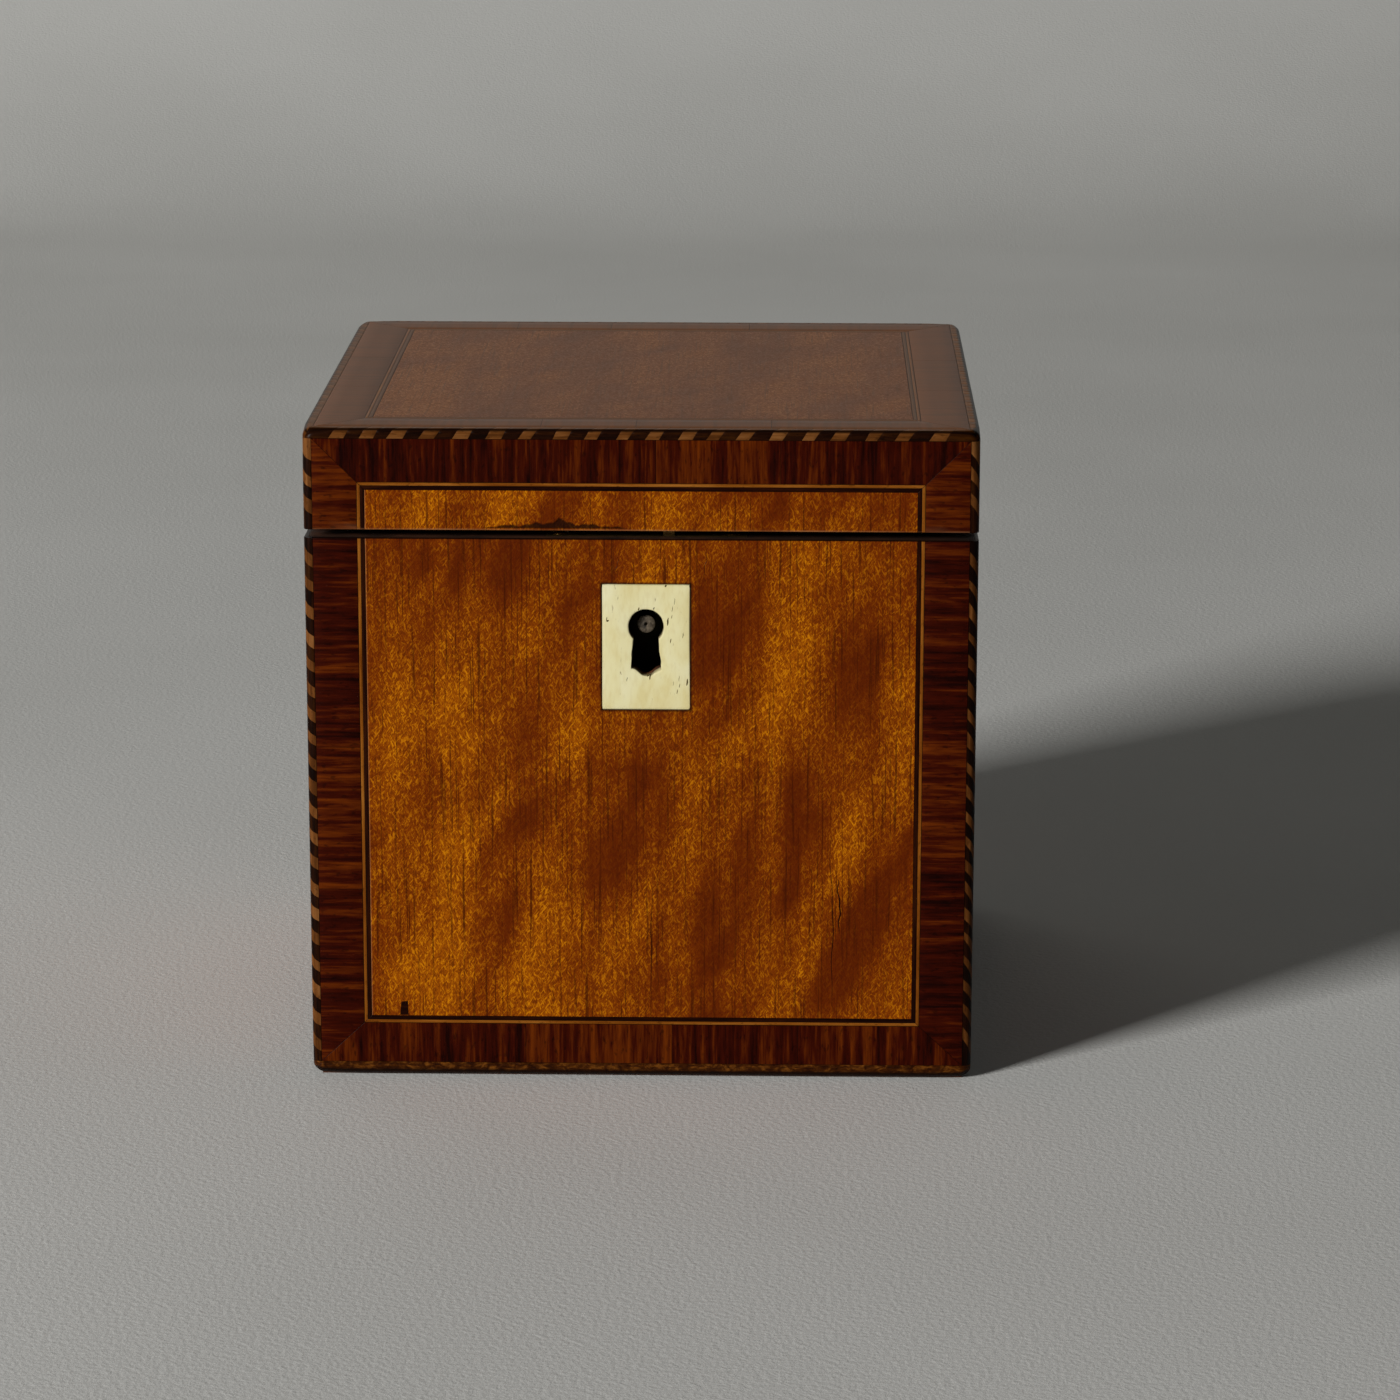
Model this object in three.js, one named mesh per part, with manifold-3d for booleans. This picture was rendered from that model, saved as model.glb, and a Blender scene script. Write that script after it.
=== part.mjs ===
// A cube-shaped tea caddy: a veneered box with a hinged lid, a box lock, a lined inside and a
// loose inner lid. Millimetres, +Z up, the front faces -Y, the origin is the centre of the base.
import * as THREE from "three";
import { mergeVertices } from "three/addons/utils/BufferGeometryUtils.js";
import Module from "manifold-3d";

// ---------------------------------------------------------------- driving dimensions

// The case
const WIDTH = 120; // X
const DEPTH = 120; // Y
const BODY_HEIGHT = 100.2; // base to the body's rim
const LID_GAP = 1.5; // daylight between the rim and the closed lid
const LID_HEIGHT = 18.3; // lower edge to the top
const WALL = 8; // walls and lid rails
const BOTTOM_THICKNESS = 8;
const LID_BOARD_THICKNESS = 7.1;

// The skin
const VENEER = 0.8;
const GLUE = 0.05; // glue line between neighbouring pieces
const ROPE = 1.6; // square section of the corner edging
const TOP_ROPE = 1.8; // square section of the edging round the top
const BASE_EDGING = 2.4; // height of the edging round the base
const BASE_EDGING_LIFT = 0.3; // it stays this far off the table
const SIDE_BAND = 7.9; // crossband up the sides of a face
const FOOT_BAND = 7.4; // crossband along the foot of the body
const HEAD_BAND = 7.8; // crossband along the head of the lid
const TOP_BAND = 8.4; // crossband on the lid's top
const STRING = 1.3; // double line: one light, one dark

// The escutcheon and the keyhole
const LOCK_X = 0.9; // the lock sits a little right of centre
const ESCUTCHEON_WIDTH = 15.8;
const ESCUTCHEON_HEIGHT = 23;
const ESCUTCHEON_THICKNESS = 1.5;
const ESCUTCHEON_DROP = 19.6; // rim to the escutcheon's centre
const KEYHOLE_DROP = 15.85; // rim to the centre of the keyhole's round
const KEYHOLE_RADIUS = 3.15;
const KEYHOLE_NECK = 2.27; // half width where the slot leaves the round
const KEYHOLE_FLARE = 2.68; // half width at the slot's foot
const KEYHOLE_FOOT = 7.65; // centre of the round to the slot's shoulders
const KEYHOLE_TIP = 8.95; // centre of the round to the pointed tip

// The lock
const LOCK_WIDTH = 36;
const LOCK_HEIGHT = 30;
const LOCK_DEPTH = 6;
const LOCK_PLATE = 1; // back plate
const SELVEDGE = 1.4; // plate on the rim
const LOCK_BOX_WIDTH = 28;
const LOCK_BOX_WALL = 0.8;
const LOCK_FOOT = 1.8; // back plate below the lock's box
const PIN_RADIUS = 1.6;
const PIN_PROUD = 0.4; // drill pin past the front of the lock's box
const BOLT_THICKNESS = 1.4;
const BOLT_BAR = 2; // height of the bolt's bar
const BOLT_TAIL = 10.5; // bolt's end to the lock's centre
const BOLT_STEM = 4.6; // lock's centre to the stem between the bar and the tail
const BOLT_HORN = 1.2; // the tail's end past the lock's centre
const BOLT_TAIL_HEIGHT = 3.6;
const TALON_DEPTH = 2.3; // notch for the key's bit
const TALON_NEAR = 0.5; // the notch's two sides from the lock's centre
const TALON_FAR = 3.5;
const BOLT_PLAY = 0.6; // bolt's tip to the staple when unlocked
const BOLT_CLEARANCE = 0.2; // bolt to the staple's eye
const STAPLE_OFFSET = 4; // from the lock's centre
const STAPLE_THICKNESS = 2;
const STAPLE_WIDTH = 3.2;
const STAPLE_REACH = 6.6; // below the rim
const STAPLE_CLEARANCE = 0.4; // staple to its slot
const STAPLE_EYE_FOOT = 1.2; // metal under the eye
const LINK_PLATE = 1;

// The hinges
const HINGE_SPREAD = 34; // centre line to each hinge's middle
const HINGE_LENGTH = 22;
const HINGE_RADIUS = 1.8; // barrel
const HINGE_OFFSET = 1.2; // hinge axis behind the back face
const HINGE_PIN_RADIUS = 0.8;
const HINGE_PIN_CLEARANCE = 0.08;
const HINGE_LEAF = 7.2; // leaf's width on the wood
const HINGE_KNUCKLES = 5;
const KNUCKLE_GAP = 0.15;
const HINGE_NOTCH = 0.3; // clearance round the barrel

// The inside
const LINER_WALL = 1.8;
const LINER_CLEARANCE = 0.15;
const LINER_RIM_DROP = 8.6; // the lining's rim below the body's rim
const INNER_LID_THICKNESS = 3.5;
const INNER_LID_CLEARANCE = 0.35;
const KNOB_HEIGHT = 6.5;
const KNOB_FOOT = 3.6; // radii
const KNOB_WAIST = 1.7;
const KNOB_HEAD = 3.4;
const KNOB_FOOT_RISE = 0.9;
const KNOB_FILLET = 0.65;
const KNOB_WAIST_RISE = 2.6;
const KNOB_HEAD_RISE = 2.08; // half the head's height
const KNOB_TENON = 1.5;
const KNOB_TENON_LENGTH = 2.6;

// ---------------------------------------------------------------- worked-out places

const HALF_X = WIDTH / 2;
const HALF_Y = DEPTH / 2;
const RIM = BODY_HEIGHT;
const LID_EDGE = RIM + LID_GAP;
const TOP = LID_EDGE + LID_HEIGHT;
const SKIN = VENEER + GLUE; // face of the caddy to the carcase
const CORNER = ROPE + GLUE; // face of the caddy to the veneers' ends
const INSIDE_X = HALF_X - SKIN - WALL;
const INSIDE_Y = HALF_Y - SKIN - WALL;
const FLOOR = BOTTOM_THICKNESS + GLUE;
const BASE_EDGING_TOP = BASE_EDGING_LIFT + BASE_EDGING;
const BODY_FOOT = BASE_EDGING_TOP + GLUE; // lowest point of the body's veneers
const LID_HEAD = TOP - TOP_ROPE - GLUE; // highest point of the lid's side veneers
const LID_BOARD_FOOT = TOP - SKIN - LID_BOARD_THICKNESS;
const AXIS_Y = HALF_Y + HINGE_OFFSET;
const AXIS_Z = RIM + LID_GAP / 2;
const LEAF_THICKNESS = HINGE_RADIUS - LID_GAP / 2;
const LOCK_BACK = -INSIDE_Y - GLUE; // the back plate lies flush with the wall's inner face
const LOCK_FRONT = LOCK_BACK - LOCK_DEPTH;
const KEYHOLE_Z = RIM - KEYHOLE_DROP;
const LINER_RIM = RIM - LINER_RIM_DROP;

// ---------------------------------------------------------------- tools

const wasm = await Module();
wasm.setup();

// A closed geometry as a solid that can be joined and cut.
function solid(geometry) {
  const bare = geometry.clone();
  bare.deleteAttribute("normal");
  bare.deleteAttribute("uv");
  const merged = mergeVertices(bare, 1e-4);
  return new wasm.Manifold(
    new wasm.Mesh({
      numProp: 3,
      vertProperties: merged.attributes.position.array,
      triVerts: new Uint32Array(merged.index.array),
    }),
  );
}

// A joined or cut solid as a geometry again.
function geometryOf(manifold) {
  const mesh = manifold.getMesh();
  const geometry = new THREE.BufferGeometry();
  geometry.setAttribute("position", new THREE.BufferAttribute(mesh.vertProperties, 3));
  geometry.setIndex(new THREE.BufferAttribute(mesh.triVerts, 1));
  geometry.computeVertexNormals();
  return geometry;
}

function joined(...geometries) {
  return geometryOf(geometries.map(solid).reduce((sum, next) => sum.add(next)));
}

function cut(geometry, ...tools) {
  return geometryOf(tools.map(solid).reduce((rest, tool) => rest.subtract(tool), solid(geometry)));
}

// A block between two values on each axis.
function block([x0, x1], [y0, y1], [z0, z1]) {
  const box = new THREE.BoxGeometry(x1 - x0, y1 - y0, z1 - z0);
  return box.translate((x0 + x1) / 2, (y0 + y1) / 2, (z0 + z1) / 2);
}

function outline(points) {
  return new THREE.Shape(points.map(([x, y]) => new THREE.Vector2(x, y)));
}

function rectangle([x0, x1], [y0, y1]) {
  return outline([[x0, y0], [x1, y0], [x1, y1], [x0, y1]]);
}

// An outline made into a slab between two heights of its own z.
function slab(shape, from, to) {
  const options = { depth: to - from, bevelEnabled: false, curveSegments: 8 };
  return new THREE.ExtrudeGeometry(shape, options).translate(0, 0, from);
}

// A band up one side, along the foot and up the other; swap foot and end to turn it over.
function threeSided(outer, inner, foot, insideFoot, end) {
  return outline([
    [-outer, foot],
    [outer, foot],
    [outer, end],
    [inner, end],
    [inner, insideFoot],
    [-inner, insideFoot],
    [-inner, end],
    [-outer, end],
  ]);
}

// A frame: a rectangle with a smaller one taken out of its middle.
function frame(outerX, outerY, rail) {
  const ring = rectangle([-outerX, outerX], [-outerY, outerY]);
  ring.holes.push(rectangle([rail - outerX, outerX - rail], [rail - outerY, outerY - rail]));
  return ring;
}

// The plan of the carcase: a rectangle with its corners rebated for the corner edging.
function rebatedPlan() {
  const [x, y] = [HALF_X - SKIN, HALF_Y - SKIN];
  const [cx, cy] = [HALF_X - CORNER, HALF_Y - CORNER];
  return outline([
    [-cx, -y], [cx, -y], [cx, -cy], [x, -cy], [x, cy], [cx, cy],
    [cx, y], [-cx, y], [-cx, cy], [-x, cy], [-x, -cy], [-cx, -cy],
  ]);
}

// A cylinder along X.
function rod(radius, x0, x1, y, z, sides) {
  const cylinder = new THREE.CylinderGeometry(radius, radius, x1 - x0, sides);
  return cylinder.rotateZ(Math.PI / 2).translate((x0 + x1) / 2, y, z);
}

// ---------------------------------------------------------------- finishes

const FINISHES = {
  satinwood: { color: 0xb36f1f, roughness: 0.38, metalness: 0 },
  crossband: { color: 0x4b1c0f, roughness: 0.35, metalness: 0 },
  stringing: { color: 0xb58238, roughness: 0.4, metalness: 0 },
  rope: { color: 0x8f5a2b, roughness: 0.4, metalness: 0 },
  baseEdging: { color: 0x3a1f12, roughness: 0.5, metalness: 0 },
  mahogany: { color: 0x6a3a20, roughness: 0.6, metalness: 0 },
  bone: { color: 0xe4dab2, roughness: 0.45, metalness: 0 },
  brass: { color: 0xa9853f, roughness: 0.35, metalness: 1 },
  steel: { color: 0x6c6760, roughness: 0.45, metalness: 1 },
  teaLead: { color: 0x85857f, roughness: 0.55, metalness: 0.8 },
};

const caddy = new THREE.Group();

function add(name, geometry, finish, group = caddy) {
  const mesh = new THREE.Mesh(geometry, new THREE.MeshStandardMaterial(FINISHES[finish]));
  mesh.name = name;
  group.add(mesh);
}

// ---------------------------------------------------------------- carcase of the body

// The keyhole in its own plane, its round at (x, y): a round over a flared slot with an ogee foot.
function keyhole(x, y, Path = THREE.Path) {
  const neck = Math.asin(KEYHOLE_NECK / KEYHOLE_RADIUS);
  const shoulder = y - KEYHOLE_FOOT;
  const tip = y - KEYHOLE_TIP;
  const path = new Path();
  path.absarc(x, y, KEYHOLE_RADIUS, neck - Math.PI / 2, 1.5 * Math.PI - neck, false);
  path.lineTo(x - KEYHOLE_FLARE, shoulder);
  const bend = KEYHOLE_FLARE / 2;
  path.bezierCurveTo(x - bend, shoulder, x - bend, tip, x, tip);
  path.bezierCurveTo(x + bend, tip, x + bend, shoulder, x + KEYHOLE_FLARE, shoulder);
  path.closePath();
  return path;
}

// A drawing in the front view (x, height) made solid between two depths of Y.
function frontSlab(shape, y0, y1) {
  return slab(shape, -y1, -y0).rotateX(Math.PI / 2);
}

function keyholeTool(y0, y1) {
  return frontSlab(keyhole(LOCK_X, KEYHOLE_Z, THREE.Shape), y0, y1);
}

function frontWall() {
  const plan = outline([
    [-HALF_X + CORNER, -HALF_Y + SKIN],
    [HALF_X - CORNER, -HALF_Y + SKIN],
    [HALF_X - CORNER, -HALF_Y + CORNER],
    [HALF_X - SKIN, -HALF_Y + CORNER],
    [HALF_X - SKIN, -INSIDE_Y],
    [-HALF_X + SKIN, -INSIDE_Y],
    [-HALF_X + SKIN, -HALF_Y + CORNER],
    [-HALF_X + CORNER, -HALF_Y + CORNER],
  ]);
  const lockSide = LOCK_WIDTH / 2 + GLUE;
  const lockMortise = block(
    [LOCK_X - lockSide, LOCK_X + lockSide],
    [LOCK_FRONT - GLUE, 0],
    [RIM - LOCK_HEIGHT - GLUE, RIM + 1],
  );
  const plateSide = ESCUTCHEON_WIDTH / 2 + GLUE;
  const plateMiddle = RIM - ESCUTCHEON_DROP;
  const plateRise = ESCUTCHEON_HEIGHT / 2 + GLUE;
  const escutcheonRecess = block(
    [LOCK_X - plateSide, LOCK_X + plateSide],
    [-HALF_Y, -HALF_Y + ESCUTCHEON_THICKNESS + GLUE],
    [plateMiddle - plateRise, plateMiddle + plateRise],
  );
  return cut(slab(plan, FLOOR, RIM), lockMortise, escutcheonRecess, keyholeTool(-HALF_Y, LOCK_FRONT));
}

// Mortises for the two hinges' leaves, between two heights.
function leafMortises(z0, z1) {
  const half = HINGE_LENGTH / 2 + GLUE;
  return [-HINGE_SPREAD, HINGE_SPREAD].map((x) =>
    block([x - half, x + half], [HALF_Y - SKIN - HINGE_LEAF - GLUE, HALF_Y], [z0, z1]),
  );
}

function backBoard(z0, z1) {
  const plan = outline([
    [-HALF_X + SKIN, INSIDE_Y],
    [HALF_X - SKIN, INSIDE_Y],
    [HALF_X - SKIN, HALF_Y - CORNER],
    [HALF_X - CORNER, HALF_Y - CORNER],
    [HALF_X - CORNER, HALF_Y - SKIN],
    [-HALF_X + CORNER, HALF_Y - SKIN],
    [-HALF_X + CORNER, HALF_Y - CORNER],
    [-HALF_X + SKIN, HALF_Y - CORNER],
  ]);
  return slab(plan, z0, z1);
}

function sideBoard(side, z0, z1) {
  const [a, b] = [side * INSIDE_X, side * (HALF_X - SKIN)];
  return block([Math.min(a, b), Math.max(a, b)], [GLUE - INSIDE_Y, INSIDE_Y - GLUE], [z0, z1]);
}

const bottomBoard = joined(
  block([CORNER - HALF_X, HALF_X - CORNER], [CORNER - HALF_Y, HALF_Y - CORNER], [0, BOTTOM_THICKNESS]),
  slab(rebatedPlan(), BODY_FOOT, BOTTOM_THICKNESS),
);

const bodyLeafMortises = leafMortises(RIM - LEAF_THICKNESS - GLUE, RIM + 1);

add("bottom_board", bottomBoard, "mahogany");
add("front_wall", frontWall(), "mahogany");
add("back_wall", cut(backBoard(FLOOR, RIM), ...bodyLeafMortises), "mahogany");
add("left_wall", sideBoard(-1, FLOOR, RIM), "mahogany");
add("right_wall", sideBoard(1, FLOOR, RIM), "mahogany");

// ---------------------------------------------------------------- carcase of the lid

const RAIL_TOP = LID_BOARD_FOOT - GLUE;

// The front rail carries the lock's link plate, let in flush.
function lidFrontRail() {
  const half = LOCK_WIDTH / 2 + GLUE;
  const recess = block(
    [LOCK_X - half, LOCK_X + half],
    [LOCK_FRONT - GLUE, 0],
    [LID_EDGE - 1, LID_EDGE + LINK_PLATE + GLUE],
  );
  const board = backBoard(LID_EDGE, RAIL_TOP).rotateZ(Math.PI);
  return cut(board, recess);
}

// The board's upper arris is rebated for the edging round the top.
const topX = HALF_X - TOP_ROPE - GLUE;
const topY = HALF_Y - TOP_ROPE - GLUE;
const lidBoard = joined(
  slab(rebatedPlan(), LID_BOARD_FOOT, LID_HEAD),
  block([-topX, topX], [-topY, topY], [LID_BOARD_FOOT, TOP - SKIN]),
);
const lidLeafMortises = leafMortises(LID_EDGE - 1, LID_EDGE + LEAF_THICKNESS + GLUE);

add("lid_board", lidBoard, "mahogany");
add("lid_front_rail", lidFrontRail(), "mahogany");
add("lid_back_rail", cut(backBoard(LID_EDGE, RAIL_TOP), ...lidLeafMortises), "mahogany");
add("lid_left_rail", sideBoard(-1, LID_EDGE, RAIL_TOP), "mahogany");
add("lid_right_rail", sideBoard(1, LID_EDGE, RAIL_TOP), "mahogany");

// ---------------------------------------------------------------- veneers on the four sides

// A side's drawing plane: x runs to the right as seen from outside, y is height, z points out.
function sidePlane(turn) {
  const upright = new THREE.Group();
  upright.rotation.x = Math.PI / 2;
  const turned = new THREE.Group();
  turned.rotation.z = turn;
  turned.add(upright);
  caddy.add(turned);
  return upright;
}

// A panel with notches for the hinges' barrels in its rim; the rim is at v = rim.
function hingedPanel(edge, foot, rim) {
  const reach = HINGE_LENGTH / 2 + HINGE_NOTCH;
  const notch = AXIS_Z + Math.sign(foot - rim) * (HINGE_RADIUS + HINGE_NOTCH);
  const points = [[-edge, foot], [edge, foot], [edge, rim]];
  for (const middle of [HINGE_SPREAD, -HINGE_SPREAD]) {
    points.push([middle + reach, rim], [middle + reach, notch]);
    points.push([middle - reach, notch], [middle - reach, rim]);
  }
  points.push([-edge, rim]);
  return outline(points);
}

// The front panel of the body with the opening for the escutcheon.
function lockedPanel(edge, foot, rim) {
  const panel = rectangle([-edge, edge], [foot, rim]);
  const side = ESCUTCHEON_WIDTH / 2 + GLUE;
  const rise = ESCUTCHEON_HEIGHT / 2 + GLUE;
  const middle = rim - ESCUTCHEON_DROP;
  panel.holes.push(rectangle([LOCK_X - side, LOCK_X + side], [middle - rise, middle + rise]));
  return panel;
}

const plainPanel = (edge, foot, rim) => rectangle([-edge, edge], [foot, rim]);

const RIGHT_ANGLE = Math.PI / 2;
const SIDES = [
  { side: "front", turn: 0, half: HALF_X, reach: HALF_Y, panels: [lockedPanel, plainPanel] },
  { side: "right", turn: RIGHT_ANGLE, half: HALF_Y, reach: HALF_X, panels: [plainPanel, plainPanel] },
  { side: "back", turn: 2 * RIGHT_ANGLE, half: HALF_X, reach: HALF_Y, panels: [hingedPanel, hingedPanel] },
  { side: "left", turn: -RIGHT_ANGLE, half: HALF_Y, reach: HALF_X, panels: [plainPanel, plainPanel] },
];

// Crossband, stringing and panel on one face of the body or the lid. foot is where the crossband
// runs across and crossing is its width there, and rim is the open end.
function veneerFace(part, side, plane, half, reach, foot, crossing, rim, panelShape) {
  const step = Math.sign(rim - foot);
  const bandOuter = half - CORNER;
  const bandInner = bandOuter - SIDE_BAND;
  const stringOuter = bandInner - GLUE;
  const stringInner = stringOuter - STRING;
  const bandHead = foot + step * crossing;
  const stringFoot = bandHead + step * GLUE;
  const stringHead = stringFoot + step * STRING;
  const faces = [reach - VENEER, reach];
  const band = threeSided(bandOuter, bandInner, foot, bandHead, rim);
  const string = threeSided(stringOuter, stringInner, stringFoot, stringHead, rim);
  const panel = panelShape(stringInner - GLUE, stringHead + step * GLUE, rim);
  add(`${part}_${side}_crossband`, slab(band, ...faces), "crossband", plane);
  add(`${part}_${side}_stringing`, slab(string, ...faces), "stringing", plane);
  add(`${part}_${side}_panel`, slab(panel, ...faces), "satinwood", plane);
}

for (const { side, turn, half, reach, panels } of SIDES) {
  const plane = sidePlane(turn);
  veneerFace("body", side, plane, half, reach, BODY_FOOT, FOOT_BAND, RIM, panels[0]);
  veneerFace("lid", side, plane, half, reach, LID_HEAD, HEAD_BAND, LID_EDGE, panels[1]);
}

// ---------------------------------------------------------------- veneers on the top

const topOuter = [topX, topY];
const topString = topOuter.map((reach) => reach - TOP_BAND - GLUE);
const topPanel = topString.map((reach) => reach - STRING - GLUE);
const topFaces = [TOP - VENEER, TOP];

add("lid_top_crossband", slab(frame(...topOuter, TOP_BAND), ...topFaces), "crossband");
add("lid_top_stringing", slab(frame(...topString, STRING), ...topFaces), "stringing");
add("lid_top_panel", block([-topPanel[0], topPanel[0]], [-topPanel[1], topPanel[1]], topFaces), "satinwood");

// ---------------------------------------------------------------- edgings

const CORNERS = [
  ["front_left", -1, -1],
  ["front_right", 1, -1],
  ["back_left", -1, 1],
  ["back_right", 1, 1],
];

function cornerStick(sx, sy, z0, z1) {
  const stick = block([-ROPE / 2, ROPE / 2], [-ROPE / 2, ROPE / 2], [z0, z1]);
  return stick.translate(sx * (HALF_X - ROPE / 2), sy * (HALF_Y - ROPE / 2), 0);
}

for (const [corner, sx, sy] of CORNERS) {
  add(`body_${corner}_rope_edging`, cornerStick(sx, sy, BODY_FOOT, RIM), "rope");
  add(`lid_${corner}_rope_edging`, cornerStick(sx, sy, LID_EDGE, LID_HEAD), "rope");
}

add("lid_top_rope_edging", slab(frame(HALF_X, HALF_Y, TOP_ROPE), TOP - TOP_ROPE, TOP), "rope");
add("base_edging", slab(frame(HALF_X, HALF_Y, ROPE), BASE_EDGING_LIFT, BASE_EDGING_TOP), "baseEdging");

// ---------------------------------------------------------------- escutcheon

function escutcheon() {
  const middle = RIM - ESCUTCHEON_DROP;
  const plate = rectangle(
    [LOCK_X - ESCUTCHEON_WIDTH / 2, LOCK_X + ESCUTCHEON_WIDTH / 2],
    [middle - ESCUTCHEON_HEIGHT / 2, middle + ESCUTCHEON_HEIGHT / 2],
  );
  plate.holes.push(keyhole(LOCK_X, KEYHOLE_Z));
  return frontSlab(plate, -HALF_Y, -HALF_Y + ESCUTCHEON_THICKNESS);
}

add("keyhole_escutcheon", escutcheon(), "bone");

// ---------------------------------------------------------------- lock

const BOX_BACK = LOCK_BACK - LOCK_PLATE; // front of the back plate
const BOX_TOP = RIM - SELVEDGE;
const BOX_FOOT = RIM - LOCK_HEIGHT + LOCK_FOOT;
const BOX_INSIDE = [LOCK_FRONT + LOCK_BOX_WALL, BOX_BACK];
const BOLT_Y = (BOX_INSIDE[0] + BOX_INSIDE[1]) / 2;
const STAPLE_X = LOCK_X + STAPLE_OFFSET;
const STAPLE_FOOT = RIM - STAPLE_REACH;
const EYE_FOOT = STAPLE_FOOT + STAPLE_EYE_FOOT;
const BAR_FOOT = EYE_FOOT + BOLT_CLEARANCE;
const across = (middle, half) => [middle - half, middle + half];

function lockCase() {
  const plate = block(across(LOCK_X, LOCK_WIDTH / 2), [BOX_BACK, LOCK_BACK], [RIM - LOCK_HEIGHT, RIM]);
  const selvedge = block(across(LOCK_X, LOCK_WIDTH / 2), [LOCK_FRONT, LOCK_BACK], [BOX_TOP, RIM]);
  const box = block(across(LOCK_X, LOCK_BOX_WIDTH / 2), [LOCK_FRONT, BOX_BACK], [BOX_FOOT, BOX_TOP]);
  const room = block(
    across(LOCK_X, LOCK_BOX_WIDTH / 2 - LOCK_BOX_WALL),
    BOX_INSIDE,
    [BOX_FOOT + LOCK_BOX_WALL, BOX_TOP],
  );
  const slot = block(
    across(STAPLE_X, STAPLE_THICKNESS / 2 + STAPLE_CLEARANCE),
    across(BOLT_Y, STAPLE_WIDTH / 2 + STAPLE_CLEARANCE),
    [BOX_TOP - 1, RIM + 1],
  );
  const pinFront = LOCK_FRONT - PIN_PROUD;
  const pinBack = BOX_BACK + LOCK_PLATE / 2; // riveted halfway into the back plate
  const pin = new THREE.CylinderGeometry(PIN_RADIUS, PIN_RADIUS, pinBack - pinFront, 20);
  pin.translate(LOCK_X, (pinFront + pinBack) / 2, KEYHOLE_Z);
  const keyway = keyholeTool(LOCK_FRONT - 1, BOX_INSIDE[0] + GLUE);
  return joined(cut(joined(plate, selvedge, box), room, slot, keyway), pin);
}

// The bolt in the front view: a bar over a tail with a talon for the key's bit.
function lockBolt() {
  const tip = STAPLE_OFFSET - STAPLE_THICKNESS / 2 - BOLT_PLAY;
  const hornTop = STAPLE_FOOT - RIM - BOLT_CLEARANCE * 2;
  const barFoot = BAR_FOOT - RIM;
  const barTop = barFoot + BOLT_BAR;
  const tailFoot = hornTop - BOLT_TAIL_HEIGHT;
  const talonHead = tailFoot + TALON_DEPTH;
  const drawing = outline([
    [-BOLT_TAIL, tailFoot],
    [-TALON_FAR, tailFoot],
    [-TALON_FAR, talonHead],
    [-TALON_NEAR, talonHead],
    [-TALON_NEAR, tailFoot],
    [BOLT_HORN, tailFoot],
    [BOLT_HORN, hornTop],
    [-BOLT_STEM, hornTop],
    [-BOLT_STEM, barFoot],
    [tip, barFoot],
    [tip, barTop],
    [-BOLT_TAIL, barTop],
  ]);
  const bolt = frontSlab(drawing, ...across(BOLT_Y, BOLT_THICKNESS / 2));
  return bolt.translate(LOCK_X, 0, RIM);
}

// The plate in the lid with the staple that the bolt shoots through.
function linkPlate() {
  const plate = block(
    across(LOCK_X, LOCK_WIDTH / 2),
    [LOCK_FRONT, LOCK_BACK],
    [LID_EDGE, LID_EDGE + LINK_PLATE],
  );
  const staple = block(
    across(STAPLE_X, STAPLE_THICKNESS / 2),
    across(BOLT_Y, STAPLE_WIDTH / 2),
    [STAPLE_FOOT, LID_EDGE + LINK_PLATE / 2],
  );
  const eye = block(
    across(STAPLE_X, STAPLE_THICKNESS),
    across(BOLT_Y, BOLT_THICKNESS / 2 + BOLT_CLEARANCE),
    [EYE_FOOT, BAR_FOOT + BOLT_BAR + BOLT_CLEARANCE],
  );
  return cut(joined(plate, staple), eye);
}

add("lock_case", lockCase(), "brass");
add("lock_bolt", lockBolt(), "steel");
add("link_plate", linkPlate(), "brass");

// ---------------------------------------------------------------- hinges

const KNUCKLE = (HINGE_LENGTH - (HINGE_KNUCKLES - 1) * KNUCKLE_GAP) / HINGE_KNUCKLES;
const knuckleStart = (i) => -HINGE_LENGTH / 2 + i * (KNUCKLE + KNUCKLE_GAP);

// One leaf of a hinge, its middle at x = 0 and the axis at y = z = 0. first is the first knuckle
// that belongs to it, and up is +1 for the lid's leaf and -1 for the body's.
function hingeLeaf(first, up) {
  const plateZ = [up * HINGE_RADIUS, (up * LID_GAP) / 2].sort((a, b) => a - b);
  const plateBack = -(HINGE_OFFSET + SKIN + HINGE_LEAF);
  const pieces = [block([-HINGE_LENGTH / 2, HINGE_LENGTH / 2], [plateBack, 0], plateZ)];
  const cuts = [rod(HINGE_PIN_RADIUS + HINGE_PIN_CLEARANCE, -HINGE_LENGTH, HINGE_LENGTH, 0, 0, 24)];
  const clear = HINGE_RADIUS + HINGE_NOTCH;
  for (let i = 0; i < HINGE_KNUCKLES; i++) {
    const [x0, x1] = [knuckleStart(i), knuckleStart(i) + KNUCKLE];
    if (i % 2 === first) pieces.push(rod(HINGE_RADIUS, x0, x1, 0, 0, 24));
    else cuts.push(block([x0 - KNUCKLE_GAP, x1 + KNUCKLE_GAP], [-clear, clear], [-clear, clear]));
  }
  return cut(joined(...pieces), ...cuts);
}

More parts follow.
